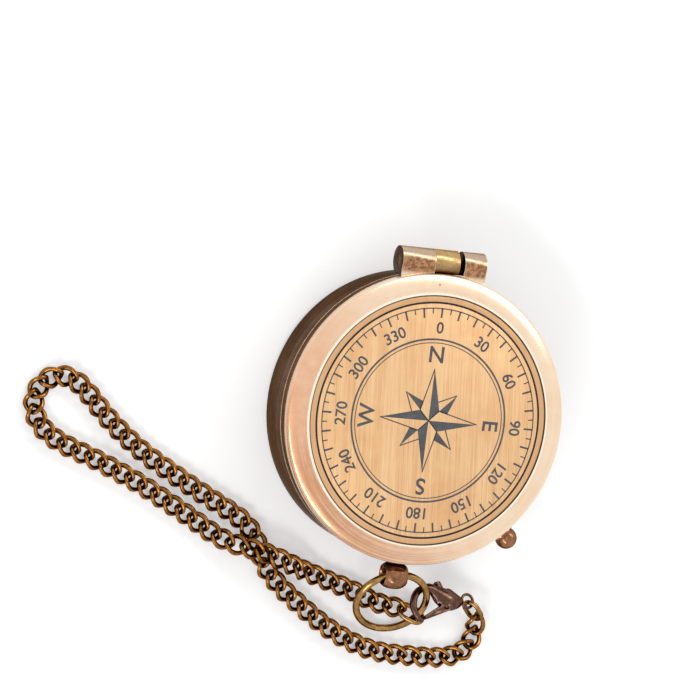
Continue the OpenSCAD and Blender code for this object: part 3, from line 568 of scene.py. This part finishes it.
def lidCopper():
    zones = lidZones
    material, tree, shader, colour, tarnish, grain = antiqueMetal("lidCopper", {
        "bare": (0.93, 0.72, 0.52), "streak": (0.86, 0.63, 0.43), "tarnish": (0.76, 0.50, 0.32),
        "depth": 0.5, "blotchSize": 9.0, "cover": 0.42, "pitch": 0.25, "roughness": 0.2, "dullness": 0.14,
        "grainGloss": 0.07, "dent": 1.2, "bump": 0.006,
        "patch": (0.95, 0.80, 0.63), "patchSize": 16.0, "patchCover": 0.5, "patchDepth": 0.6,
        "patinaAndShade": (0.22, 0.105, 0.05), "patinaAndShadeReach": 0.8, "patinaAndShadeDepth": 0.85,
        "worn": (0.92, 0.78, 0.58), "wornWidth": 0.3, "wornDepth": 0.7,
    })
    place = partPlace(tree)
    colour = rimStains(tree, colour, place, tarnish, grain)
    colour = sideAndBead(tree, colour, place, grain)
    # brown mottled knuckles, paler on their crest and rubbed at the edges
    knuckle = leanRamp(tree, place, (0, 1), zones["hingeReach"])
    mottle = addGroup(tree, blotches, Vector=place, Size=zones["mottleSize"], Cover=zones["mottleCover"])
    patina = mixColour(tree, mottle["Mask"], zones["hinge"], zones["hingeSpot"])
    crest = leanRamp(tree, place, (0, 1), zones["crestReach"])
    patina = tinted(tree, patina, crest, zones["crestDepth"], zones["hingeTop"])
    rubbed = addGroup(tree, wornEdge, Radius=zones["rubWidth"] * mm, Fine=mottle["Fine"])
    bared = mathNode(tree, "MULTIPLY", rubbed["Mask"], zones["rubDepth"])
    covered = mathNode(tree, "SUBTRACT", 1.0, bared)
    colour = tinted(tree, colour, knuckle, covered, patina)
    # dark end faces
    surface = tree.nodes.new("ShaderNodeNewGeometry")
    facing = splitVector(tree, surface.outputs["Normal"])
    sideways = mathNode(tree, "GREATER_THAN", mathNode(tree, "ABSOLUTE", facing[0]), zones["capFacing"])
    behind = mathNode(tree, "GREATER_THAN", splitVector(tree, place)[1], zones["capFrom"] * mm)
    cap = mathNode(tree, "MULTIPLY", sideways, behind)
    tree.links.new(mixColour(tree, cap, colour, zones["endCap"]), shader.inputs["Base Color"])
    rim = mixColour(tree, knuckle, (1, 1, 1), zones["rimTint"])
    tree.links.new(mixColour(tree, cap, rim, zones["capTint"]), shader.inputs["Specular Tint"])
    return material


def discBrass():
    # a dark groove near the disc's edge, a darker margin outside it and a painted shadow line at the rim,
    # where the disc meets the ring's step
    zones = {
        "groove": (20.04, 20.36), "ink": (0.035, 0.037, 0.045), "margin": (0.60, 0.35, 0.18),
        "marginDepth": 0.6, "seamShadowReach": (21.2, 21.32), "seamShadow": (0.12, 0.062, 0.03),
    }
    material, tree, shader, colour = antiqueMetal("discBrass", {
        "bare": (0.90, 0.585, 0.325), "streak": (0.69, 0.405, 0.195), "tarnish": (0.62, 0.33, 0.15),
        "depth": 0.55, "blotchSize": 12.0, "cover": 0.42, "pitch": 0.17, "grainLength": 9.0,
        "turn": (0, 0, 5), "roughness": 0.36, "dullness": 0.1, "grainGloss": 0.12, "dent": 0.4,
        "bump": 0.007,
        "patch": (0.84, 0.61, 0.31), "patchSize": 15.0, "patchCover": 0.42, "patchDepth": 0.55,
        "patinaAndShade": (0.16, 0.08, 0.04), "patinaAndShadeReach": 0.5, "patinaAndShadeDepth": 0.8, "patinaAndShadeOpen": 0.7,
    })[:4]
    radius = addGroup(tree, turnedGrain, Vector=partPlace(tree))["Radius"]
    low, high = (edge * mm for edge in zones["groove"])
    outside = mathNode(tree, "GREATER_THAN", radius, high)
    colour = tinted(tree, colour, outside, zones["marginDepth"], zones["margin"])
    # painted shadow: a dark line at the rim
    seamShadowStart, seamShadowEnd = (edge * mm for edge in zones["seamShadowReach"])
    colour = mixColour(tree, rampNode(tree, radius, seamShadowStart, seamShadowEnd), colour, zones["seamShadow"])
    inside = mathNode(tree, "GREATER_THAN", radius, low)
    groove = mathNode(tree, "MULTIPLY", inside, mathNode(tree, "LESS_THAN", radius, high))
    tree.links.new(mixColour(tree, groove, colour, zones["ink"]), shader.inputs["Base Color"])
    return material


def bezelCopper():
    # its lower edge is rubbed bright where it meets the case
    zones = {"joint": (0.86, 0.66, 0.46), "jointReach": (9.5, 9.98), "jointSoft": 0.03}
    finish = {
        "bare": (0.27, 0.17, 0.12), "streak": (0.17, 0.10, 0.07), "tarnish": (0.08, 0.046, 0.032),
        "depth": 0.6, "blotchSize": 6.0, "cover": 0.45, "pitch": 0.3, "roughness": 0.2, "dullness": 0.12,
        "grainGloss": 0.08, "dent": 0.5, "bump": 0.008, "rimTint": (0.4, 0.32, 0.26),
        "patinaAndShade": (0.05, 0.028, 0.018), "patinaAndShadeReach": 0.8, "patinaAndShadeDepth": 0.8,
        "worn": (0.66, 0.46, 0.3), "wornWidth": 0.2, "wornDepth": 0.7,
    }
    material, tree, shader, colour, tarnish, grain = antiqueMetal("bezelCopper", finish)
    low, high = zones["jointReach"]
    joint = bandMask(tree, grain["Height"], low * mm, high * mm, zones["jointSoft"] * mm)
    joint = brokenUp(tree, joint, tarnish["Fine"], gain=0.8, base=0.4)
    tree.links.new(mixColour(tree, joint, colour, zones["joint"]), shader.inputs["Base Color"])
    tree.links.new(mixColour(tree, joint, finish["rimTint"], (1, 1, 1)), shader.inputs["Specular Tint"])
    return material


def knuckleBrass():
    # painted shade where it turns down towards the lid
    zones = {
        "shade": (0.11, 0.055, 0.018), "shadeReach": (25.3, 26.9), "shadeAbove": 10.8, "shadeDepth": 0.85,
    }
    material, tree, shader, colour = antiqueMetal("knuckleBrass", {
        "bare": (0.60, 0.41, 0.20), "streak": (0.48, 0.30, 0.13), "tarnish": (0.2, 0.11, 0.035),
        "depth": 0.7, "blotchSize": 3.0, "cover": 0.42, "pitch": 0.2, "grainLength": 3.0,
        "turn": (0, 0, 90), "roughness": 0.18, "dullness": 0.2, "grainGloss": 0.08, "dent": 0.8, "bump": 0.01,
        "rimTint": (0.5, 0.4, 0.28),
        "patinaAndShade": (0.03, 0.018, 0.008), "patinaAndShadeReach": 1.2, "patinaAndShadeDepth": 0.9,
        "worn": (0.8, 0.6, 0.34), "wornWidth": 0.2, "wornDepth": 0.6,
    })[:4]
    place = partPlace(tree)
    high = mathNode(tree, "GREATER_THAN", splitVector(tree, place)[2], zones["shadeAbove"] * mm)
    front = mathNode(tree, "SUBTRACT", 1.0, leanRamp(tree, place, (0, 1), zones["shadeReach"]))
    shade = mathNode(tree, "MULTIPLY", front, high)
    colour = tinted(tree, colour, shade, zones["shadeDepth"], zones["shade"])
    tree.links.new(colour, shader.inputs["Base Color"])
    return material


plainMetals = {
    "wallBronze": {
        "bare": (0.215, 0.145, 0.112), "streak": (0.125, 0.08, 0.06), "tarnish": (0.065, 0.041, 0.031),
        "depth": 0.55, "blotchSize": 8.0, "cover": 0.45, "pitch": 0.35, "roughness": 0.2, "dullness": 0.1,
        "grainGloss": 0.1, "dent": 0.5, "bump": 0.012, "rimTint": (0.40, 0.35, 0.31),
        "patinaAndShade": (0.03, 0.018, 0.013), "patinaAndShadeReach": 0.8, "patinaAndShadeDepth": 0.8,
        "worn": (0.55, 0.38, 0.25), "wornWidth": 0.2, "wornDepth": 0.6,
    },
    "innerBrass": {
        "bare": (0.60, 0.44, 0.22), "streak": (0.53, 0.37, 0.17), "tarnish": (0.36, 0.24, 0.11),
        "depth": 0.4, "blotchSize": 6.0, "cover": 0.4, "pitch": 0.3, "roughness": 0.3, "dullness": 0.1,
        "grainGloss": 0.08, "dent": 0.5, "bump": 0.006,
    },
    "fittingBronze": {
        "bare": (0.40, 0.195, 0.10), "streak": (0.26, 0.115, 0.056), "tarnish": (0.08, 0.036, 0.02),
        "depth": 0.75, "blotchSize": 2.6, "cover": 0.48, "pitch": 0.3, "grainLength": 2.0,
        "roughness": 0.11, "dullness": 0.16, "grainGloss": 0.05, "dent": 1.0, "bump": 0.008,
        "rimTint": (0.46, 0.38, 0.33),
        "patinaAndShade": (0.028, 0.014, 0.009), "patinaAndShadeReach": 1.2, "patinaAndShadeDepth": 0.85,
        "worn": (0.6, 0.38, 0.22), "wornWidth": 0.2, "wornDepth": 0.55,
    },
    "chainBrass": {
        "bare": (0.43, 0.185, 0.04), "streak": (0.30, 0.118, 0.023), "tarnish": (0.085, 0.034, 0.009),
        "depth": 0.75, "blotchSize": 1.6, "cover": 0.47, "pitch": 0.25, "grainLength": 1.2,
        "roughness": 0.12, "dullness": 0.14, "grainGloss": 0.04, "dent": 1.0, "bump": 0.01,
        "rimTint": (0.42, 0.30, 0.20),
        "patinaAndShade": (0.018, 0.009, 0.004), "patinaAndShadeReach": 1.7, "patinaAndShadeOpen": 0.97, "patinaAndShadeDepth": 0.97,
    },
    "ringBrass": {
        "bare": (0.50, 0.29, 0.105), "streak": (0.34, 0.18, 0.06), "tarnish": (0.12, 0.058, 0.02),
        "depth": 0.8, "blotchSize": 5.5, "cover": 0.45, "pitch": 0.2, "grainLength": 2.0,
        "roughness": 0.1, "dullness": 0.12, "grainGloss": 0.04, "dent": 1.0, "bump": 0.007,
        "rimTint": (0.44, 0.33, 0.22),
        "patinaAndShade": (0.03, 0.016, 0.007), "patinaAndShadeReach": 1.2, "patinaAndShadeDepth": 0.9,
    },
    "claspCopper": {
        "bare": (0.185, 0.10, 0.066), "streak": (0.11, 0.056, 0.039), "tarnish": (0.042, 0.023, 0.02),
        "depth": 0.75, "blotchSize": 2.2, "cover": 0.48, "pitch": 0.2, "grainLength": 1.5,
        "roughness": 0.11, "dullness": 0.16, "grainGloss": 0.05, "dent": 1.0, "bump": 0.012,
        "rimTint": (0.46, 0.42, 0.4),
        "patinaAndShade": (0.018, 0.011, 0.01), "patinaAndShadeReach": 0.9, "patinaAndShadeDepth": 0.85,
        "worn": (0.42, 0.26, 0.17), "wornWidth": 0.2, "wornDepth": 0.6,
    },
    "springSteel": {
        "bare": (0.56, 0.56, 0.57), "streak": (0.48, 0.48, 0.5), "tarnish": (0.3, 0.29, 0.29), "depth": 0.4,
        "blotchSize": 2.0, "cover": 0.4, "pitch": 0.1, "grainLength": 1.0,
        "roughness": 0.2, "dullness": 0.15, "grainGloss": 0.08, "dent": 0.4, "bump": 0.004,
    },
}


def plainMetal(name):
    return antiqueMetal(name, plainMetals[name])[0]


# Ink, paper, rubber, glass and the blued needle

skins = {
    "engravedInk": {"dark": (0.06, 0.063, 0.07), "roughness": 0.45},
    "dialInk": {"dark": (0.02, 0.02, 0.025), "roughness": 0.4},
    "dialPaper": {
        "colours": ((0.82, 0.78, 0.66), (0.74, 0.68, 0.53)), "blotchSize": 8.0, "roughness": 0.45,
        "uneven": 0.15, "bump": 0.01},
    "gasketRubber": {
        "colours": ((0.02, 0.02, 0.02), (0.05, 0.05, 0.048)), "blotchSize": 1.2, "roughness": 0.55,
        "uneven": 0.2, "bump": 0.02},
    "hubJewel": {
        "colours": ((0.50, 0.03, 0.09), (0.62, 0.07, 0.16)), "blotchSize": 0.8, "roughness": 0.06,
        "uneven": 0.0, "bump": 0.0},
    "crystalGlass": {
        "colours": ((0.98, 0.99, 0.99), (0.95, 0.97, 0.97)), "blotchSize": 5.0, "cover": 0.35,
        "haze": 0.03, "refraction": 1.5},
    "needleBlue": {
        "colours": ((0.56, 0.56, 0.57), (0.44, 0.43, 0.42)), "blotchSize": 3.0,
        "blue": ((0.03, 0.06, 0.30), (0.05, 0.12, 0.42)), "blueReach": (-0.25, 0.05),
        "pitch": 0.12, "grainLength": 6.0, "metallic": 0.85, "glossRamp": (-1.0, 3.0), "bump": 0.004},
}
inkLook = {
    "blotchSize": 1.5, "paler": 1.6, "lift": 0.01, "border": (0.02, 0.021, 0.025), "borderWidth": 0.07,
    "borderWear": 0.9, "uneven": 0.2, "bump": 0.01,
}


def mottled(name, skin):
    # two colours in blotches
    material, tree, shader = newMaterial(name)
    place = partPlace(tree)
    mottle = addGroup(tree, blotches, Vector=place, Size=skin["blotchSize"], Cover=skin.get("cover", 0.5))
    colour = mixColour(tree, mottle["Mask"], *skin["colours"])
    tree.links.new(colour, shader.inputs["Base Color"])
    return material, tree, shader, mottle, colour


def unevenGloss(tree, shader, mottle, skin):
    gloss = mathNode(tree, "MULTIPLY_ADD", mottle["Fine"], skin["uneven"], skin["roughness"])
    tree.links.new(gloss, shader.inputs["Roughness"])
    if skin["bump"]:
        bumpFrom(tree, shader, mottle["Fine"], skin["bump"] * mm)


def plainSkin(name):
    material, tree, shader, mottle = mottled(name, skins[name])[:4]
    unevenGloss(tree, shader, mottle, skins[name])
    return material


def printedInk(name):
    # engraved or printed marks: dark, slightly uneven, matt, with a darker border
    ink = {**inkLook, **skins[name]}
    ink["colours"] = (ink["dark"], [value * ink["paler"] + ink["lift"] for value in ink["dark"]])
    material, tree, shader, mottle, colour = mottled(name, ink)
    edge = addGroup(tree, wornEdge, Radius=ink["borderWidth"] * mm, Fine=ink["borderWear"])
    tree.links.new(mixColour(tree, edge["Mask"], colour, ink["border"]), shader.inputs["Base Color"])
    unevenGloss(tree, shader, mottle, ink)
    return material


def needleBlue():
    # heat-blued steel at one end, bare at the other
    skin = skins["needleBlue"]
    material, tree, shader, mottle, steel = mottled("needleBlue", skin)
    place = partPlace(tree)
    blue = mixColour(tree, mottle["Mask"], *skin["blue"])
    north = leanRamp(tree, place, (0, 1), skin["blueReach"])
    tree.links.new(mixColour(tree, north, steel, blue), shader.inputs["Base Color"])
    grain = addGroup(tree, straightGrain, Vector=place, Pitch=skin["pitch"], Length=skin["grainLength"])
    tree.links.new(rampNode(tree, grain["Grain"], *skin["glossRamp"]), shader.inputs["Roughness"])
    shader.inputs["Metallic"].default_value = skin["metallic"]
    bumpFrom(tree, shader, grain["Grain"], skin["bump"] * mm)
    return material


def crystalGlass():
    skin = skins["crystalGlass"]
    material, tree, shader, mottle = mottled("crystalGlass", skin)[:4]
    haze = mathNode(tree, "MULTIPLY", mottle["Mask"], skin["haze"])
    tree.links.new(haze, shader.inputs["Roughness"])
    shader.inputs["Transmission Weight"].default_value = 1.0
    shader.inputs["IOR"].default_value = skin["refraction"]
    return material


finishes = {
    "copper_rose": lidCopper(), "brass_disc": discBrass(), "bronze_wall": plainMetal("wallBronze"),
    "copper_dark": bezelCopper(), "brass_yellow": knuckleBrass(), "brass_warm": plainMetal("innerBrass"),
    "bronze_fitting": plainMetal("fittingBronze"), "brass_antique": plainMetal("chainBrass"),
    "copper_clasp": plainMetal("claspCopper"), "spring_steel": plainMetal("springSteel"),
    "clear_crystal": crystalGlass(), "black_gasket": plainSkin("gasketRubber"),
    "dial_white": plainSkin("dialPaper"), "needle_blue": needleBlue(), "jewel_red": plainSkin("hubJewel"),
}
ringMetal = plainMetal("ringBrass")
engravedInk = printedInk("engravedInk")
dialInk = printedInk("dialInk")
for nodeName, node in nodes.items():
    node.data.materials.clear()
    node.data.materials.append(finishes[slotOf[nodeName]])
print("finishes ready")


# Camera and light

cameraSet = {
    "towardCamera": Vector((-0.350, 0.0796, 0.9333)), "imageUp": Vector((-0.0881, 0.9892, -0.1174)),
    "distance": 650.0, "lens": 196.6, "sensor": 36, "nearest": 20.0, "lookAt": (-13.5, 10.25, 8.46),
}
lamps = {
    "keyLamp": {"place": (340, 560, 480), "size": (950, 220), "power": 2.4},
    "fillLamp": {"place": (-360, -420, 480), "size": (600, 160), "power": 1.8},
}
lampTarget = Vector((0, 0, 10)) * mm
studio = {
    "floorWidth": 4000, "floorDepth": 0.02, "floorGrey": 0.86, "floorRoughness": 0.9, "floorGlow": 0.36,
    "skyLight": 0.5,
}


def addCamera():
    back = cameraSet["towardCamera"].normalized()
    right = cameraSet["imageUp"].cross(back).normalized()
    up = back.cross(right)
    target = Vector(cameraSet["lookAt"]) * mm
    selectOnly(None)
    bpy.ops.object.camera_add()
    camera = bpy.context.object
    camera.name = "photoCamera"
    turn = Matrix((right, up, back)).transposed().to_4x4()
    camera.matrix_world = Matrix.Translation(target + back * cameraSet["distance"] * mm) @ turn
    camera.data.lens = cameraSet["lens"]
    camera.data.sensor_width = cameraSet["sensor"]
    camera.data.clip_start = cameraSet["nearest"] * mm
    scene.camera = camera


def addLamp(name, values):
    place = Vector(values["place"]) * mm
    selectOnly(None)
    bpy.ops.object.light_add(type="AREA", location=place)
    lamp = bpy.context.object
    lamp.name = name
    lamp.data.shape = "RECTANGLE"
    lamp.data.size, lamp.data.size_y = (side * mm for side in values["size"])
    lamp.data.energy = values["power"]
    lamp.rotation_euler = (lampTarget - place).to_track_quat("-Z", "Y").to_euler()


def seenRay(tree):
    # 1 where the camera, a gloss or glass looks
    path = tree.nodes.new("ShaderNodeLightPath")
    seen = mathNode(tree, "MAXIMUM", path.outputs["Is Camera Ray"], path.outputs["Is Glossy Ray"])
    return mathNode(tree, "MAXIMUM", seen, path.outputs["Is Transmission Ray"])


def floorPaint():
    # white where it is looked at; the object's shadow stays in its diffuse part
    material, tree, shader = newMaterial("floorPaint")
    setInput(tree, shader.inputs["Base Color"], [studio["floorGrey"]] * 3)
    shader.inputs["Roughness"].default_value = studio["floorRoughness"]
    shader.inputs["Specular IOR Level"].default_value = 0.0
    setInput(tree, shader.inputs["Emission Color"], (1, 1, 1))
    glow = mathNode(tree, "MULTIPLY", seenRay(tree), studio["floorGlow"])
    tree.links.new(glow, shader.inputs["Emission Strength"])
    return material


def addFloor():
    selectOnly(None)
    bpy.ops.mesh.primitive_plane_add(
        size=studio["floorWidth"] * mm, location=(0, 0, -studio["floorDepth"] * mm))
    floor = bpy.context.object
    floor.name = "floor"
    settle(floor)
    floor.data.materials.append(floorPaint())


def addSky():
    # white where it is looked at, softer as light
    world = bpy.data.worlds.new("studio")
    scene.world = world
    world.use_nodes = True
    tree = world.node_tree
    tree.nodes.clear()
    output = tree.nodes.new("ShaderNodeOutputWorld")
    background = tree.nodes.new("ShaderNodeBackground")
    setInput(tree, background.inputs["Color"], (1, 1, 1))
    light = studio["skyLight"]
    strength = mathNode(tree, "MULTIPLY_ADD", seenRay(tree), 1 - light, light)
    tree.links.new(strength, background.inputs["Strength"])
    tree.links.new(background.outputs[0], output.inputs["Surface"])


scene.view_settings.view_transform = "Standard"
addCamera()
addFloor()
addSky()
for name, values in lamps.items():
    addLamp(name, values)
print("camera and light ready")


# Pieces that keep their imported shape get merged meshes, soft edges and smooth turned faces

dressValues = {"hardEdge": 35, "flatEdge": 0.3, "merge": 0.003, "bevelSteps": 2}


def dressed(nodeName, pieceName, bevel=0.0):
    source = nodes[nodeName]
    piece = copied(source)
    piece.parent = None
    piece.matrix_world = Matrix.Identity(4)
    piece.name = pieceName
    piece.data.name = pieceName
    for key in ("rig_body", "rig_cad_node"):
        if key in piece:
            del piece[key]
    selectOnly(piece)
    bpy.ops.mesh.customdata_custom_splitnormals_clear()
    editAll()
    bpy.ops.mesh.remove_doubles(threshold=dressValues["merge"] * mm)
    bpy.ops.mesh.dissolve_limited(angle_limit=math.radians(dressValues["flatEdge"]))
    objectMode()
    if bevel:
        softenEdges(piece, bevel * mm, dressValues["hardEdge"])
    smoothed(piece, dressValues["hardEdge"])
    onBody(piece, bodyOf[nodeName], finishes[slotOf[nodeName]], slotOf[nodeName], nodeName)
    return piece


dressing = {
    "case_body": ("caseWall", 0.12), "bezel_ring": ("bezelRing", 0.1),
    "chapter_ring": ("chapterRing", 0.05), "lid_ring": ("lidRim", 0.08), "lid_disc": ("lidDisc", 0.05),
    "case_knuckle": ("caseKnuckle", 0.14), "hinge_pin": ("hingePin", 0.1),
    "crown_flange": ("crownFlange", 0.15), "crown_bead": ("crownBead", 0.08),
    "button_collar": ("buttonCollar", 0.12), "push_button": ("pushButton", 0.08),
    "bow_ring": ("bowRing", 0), "jump_link": ("jumpLink", 0), "clasp_link": ("claspLink", 0),
    "clasp_body": ("claspBody", 0), "clasp_gate": ("claspGate", 0.12), "gate_pin": ("gatePin", 0.05),
}
ownFinish = {
    "bow_ring": ringMetal, "jump_link": ringMetal, "clasp_link": ringMetal,
    "hinge_pin": finishes["bronze_wall"],
}
for nodeName, (pieceName, bevelWidth) in dressing.items():
    rigid = dressed(nodeName, pieceName, bevelWidth)
    if nodeName in ownFinish:
        rigid.data.materials[0] = ownFinish[nodeName]
print("rigid pieces dressed")


# Springs get dressed copies, each with a mesh of its own

springs = {
    "button_spring": {
        "piece": "buttonSpring", "joint": "button_press", "axis": (-0.7071, 0.7071, 0), "travel": 0.9},
    "gate_spring": {
        "piece": "gateSpring", "joint": "gate_open", "axis": (0.963, 0.072, -0.259), "travel": 0.3},
}
for nodeName, values in springs.items():
    spring = dressed(nodeName, values["piece"])
    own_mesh(spring)


# The curb chain: one link is bent and twisted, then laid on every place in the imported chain

chainLink = {
    "halfLength": 1.925, "halfWidth": 1.46, "wire": 0.86, "twist": 50.0, "pathSteps": 9, "wireSteps": 3,
    "hardEdge": 60, "merge": 0.002, "packedMerge": 0.001,
}


def makeLink():
    selectOnly(None)
    bpy.ops.curve.primitive_bezier_circle_add(radius=1)
    link = bpy.context.object
    link.name = "curbLink"
    link.scale = (chainLink["halfLength"] * mm, chainLink["halfWidth"] * mm, 1)
    settle(link)
    bpy.ops.object.mode_set(mode="EDIT")
    bpy.ops.curve.select_all(action="SELECT")
    bpy.ops.curve.radius_set(radius=1)
    objectMode()
    wireRadius = chainLink["wire"] / 2 * mm
    link.data.resolution_u = chainLink["pathSteps"]
    link.data.bevel_depth = wireRadius
    link.data.bevel_resolution = chainLink["wireSteps"]
    selectOnly(link)
    bpy.ops.object.convert(target="MESH")
    link = bpy.context.object
    editAll()
    bpy.ops.mesh.remove_doubles(threshold=chainLink["merge"] * mm)
    bpy.ops.mesh.normals_make_consistent(inside=False)
    objectMode()
    twist = link.modifiers.new("twist", "SIMPLE_DEFORM")
    twist.deform_method = "TWIST"
    twist.deform_axis = "X"
    reach = chainLink["halfLength"] * mm + wireRadius
    twist.angle = math.radians(2 * chainLink["twist"]) * reach / (chainLink["halfLength"] * mm)
    applied(link, twist)
    smoothed(link, chainLink["hardEdge"])
    return link


def linkPlaces(nodeName):
    # middle and axes of every link in a packed stretch of the chain
    whole = copied(nodes[nodeName])
    whole.parent = None
    whole.matrix_world = Matrix.Identity(4)
    selectOnly(whole)
    editAll()
    bpy.ops.mesh.remove_doubles(threshold=chainLink["packedMerge"] * mm)
    bpy.ops.mesh.separate(type="LOOSE")
    objectMode()
    places = []
    for item in list(bpy.context.selected_objects):
        points = np.array([vertex.co[:] for vertex in item.data.vertices])
        middle = points.mean(axis=0)
        spread = points - middle
        axes = np.linalg.eigh(spread.T @ spread)[1]
        along, across = Vector(axes[:, 2]), Vector(axes[:, 1])
        turn = Matrix((along, across, along.cross(across))).transposed().to_4x4()
        places.append(Matrix.Translation(Vector(middle)) @ turn)
        bpy.data.objects.remove(item)
    return places


def layChain():
    link = makeLink()
    pieces = {}
    for nodeName, pieceName in (
            ("chain_ring_end", "chainRingEnd"), ("chain_rear_run", "chainRearRun"),
            ("chain_front_run", "chainFrontRun"), ("chain_clasp_end", "chainClaspEnd")):
        laid = []
        for place in linkPlaces(nodeName):
            twin = copied(link)
            twin.data.transform(place)
            laid.append(twin)
        pieces[nodeName] = joined(laid, pieceName)
        print(pieceName, len(laid), "links")
    bpy.data.objects.remove(link)
    return pieces


chain = layChain()
for nodeName in ("chain_rear_run", "chain_front_run"):
    onBody(chain[nodeName], "case", finishes["brass_antique"], "brass_antique", nodeName)
chainBlend = {
    "chain_ring_end": ((5.5, -35.0, 1.8), (-10.5, -30.0, 1.0)),
    "chain_clasp_end": ((19.0, -35.5, 1.8), (12.5, -42.5, 1.0)),
}
for nodeName, (start, end) in chainBlend.items():
    piece = chain[nodeName]
    piece.data.materials.clear()
    piece.data.materials.append(finishes["brass_antique"])
    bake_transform(piece)
    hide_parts(nodeName)
print("chain laid")


# Marks: plain compass roses with a ring of degrees, engraved on the lid's disc and printed on the dial

engraving = {
    "name": "discEngraving", "top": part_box("lid_disc")[1][2], "rise": 0.014, "tickOuter": 19.25,
    "longTicks": {"length": 1.6, "width": 0.32, "count": 36, "first": 0},
    "shortTicks": {"length": 0.9, "width": 0.2, "count": 36, "first": 5},
    "rings": ((5.3, 0.32), (5.9, 0.16), (0, 0.2)),        # how far inside tickOuter, and how wide
    "numbers": {"radius": 15.85, "size": 2.7}, "letters": {"radius": 11.2, "size": 3.9},
    "longRay": (8.9, 1.75), "shortRay": (6.6, 1.9), "edge": 0.2,
}
dialMarks = {
    "name": "dialMarks", "top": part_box("dial_plate")[1][2], "rise": 0.02, "tickOuter": 17.8,
    "longTicks": {"length": 1.6, "width": 0.18, "count": 36, "first": 0},
    "shortTicks": {"length": 0.8, "width": 0.09, "count": 144, "first": 2.5},
    "rings": ((0, 0.12), (1.6, 0.1)),
    "numbers": {"radius": 14.7, "size": 1.7}, "letters": {"radius": 10.9, "size": 3.4},
    "longRay": (7.6, 1.3), "shortRay": (5.2, 1.4), "edge": 0.1,
}
markSeat = 0.004        # how deep the marks sit in their surface
ringSteps = 96
fineShare = 0.8        # of a ray's outline, for the line at its foot


def crossing(first, second, third, fourth):
    # where two lines in the XY plane meet
    along, other, between = second - first, fourth - third, third - first
    reach = between.x * other.y - between.y * other.x
    return first + along * reach / (along.x * other.y - along.y * other.x)


def strip(points, width, lift):
    # a thin flat line between two points
    first, last = (Vector((x, y, 0)) for x, y in points)
    along = (last - first).normalized()
    side = Vector((-along.y, along.x, 0)) * width / 2
    corners = [first - side, last - side, last + side, first + side]
    return drawOutline("strip", [corner * mm + Vector((0, 0, lift)) for corner in corners])


def roseRay(degrees, values, short, lift, rise):
    # one half of a ray is filled, the other only outlined; short rays start at the long ones' sides
    longLength, longWide = values["longRay"]
    shortLength, shortWide = values["shortRay"]
    angle = math.radians(degrees)
    out = Vector((math.sin(angle), math.cos(angle), 0))
    made = []
    for side in (1, -1):
        cross = Vector((math.cos(angle), -math.sin(angle), 0)) * side
        if short:
            start = out * longWide * math.sqrt(2)
            tip = out * shortLength
            sideTip = (out + cross) * longLength / math.sqrt(2)
            shoulder = crossing(start, sideTip, (out + cross) * shortWide, tip)
        else:
            start, tip, shoulder = Vector((0, 0, 0)), out * longLength, (out + cross) * longWide
        if side == 1:
            corners = [point * mm + Vector((0, 0, lift)) for point in (start, shoulder, tip)]
            made.append(raised(drawOutline("roseRay", corners), rise))
        else:
            made.append(raised(strip((shoulder[:2], tip[:2]), values["edge"], lift), rise))
            if not short:
                foot = strip((start[:2], shoulder[:2]), values["edge"] * fineShare, lift)
                made.append(raised(foot, rise))
    return made


def thinRing(radius, width, lift, rise):
    selectOnly(None)
    bpy.ops.mesh.primitive_circle_add(
        vertices=ringSteps, radius=(radius + width / 2) * mm, fill_type="NGON", location=(0, 0, lift))
    ring = bpy.context.object
    editAll()
    bpy.ops.mesh.inset(thickness=width * mm)
    bpy.ops.mesh.delete(type="FACE")
    objectMode()
    settle(ring)
    return raised(ring, rise)


def roseMarks(values):
    lift, rise = values["top"] - markSeat * mm, values["rise"] * mm
    outer = values["tickOuter"]
    made = []
    for ticks in (values["longTicks"], values["shortTicks"]):
        line = strip(((0, outer - ticks["length"]), (0, outer)), ticks["width"], lift)
        made += turnedCopies(raised(line, rise), ticks["count"], ticks["first"])
    for inset, width in values["rings"]:
        made.append(thinRing(outer - inset, width, lift, rise))
    words = [(str(degrees), degrees, values["numbers"]) for degrees in range(0, 360, 30)]
    words += [(letter, 90 * step, values["letters"]) for step, letter in enumerate("NESW")]
    for word, degrees, font in words:
        made.append(placedText(
            word, font["size"] * mm, rise, font["radius"] * mm, degrees, lift + rise / 2))
    for step in range(4):
        made += roseRay(90 * step, values, False, lift, rise)
        made += roseRay(90 * step + 45, values, True, lift, rise)
    return joined(made, values["name"])


onBody(roseMarks(engraving), "lid", engravedInk, "brass_disc")
print("disc engraved")
onBody(roseMarks(dialMarks), "case", dialInk, "dial_white")
print("dial printed")
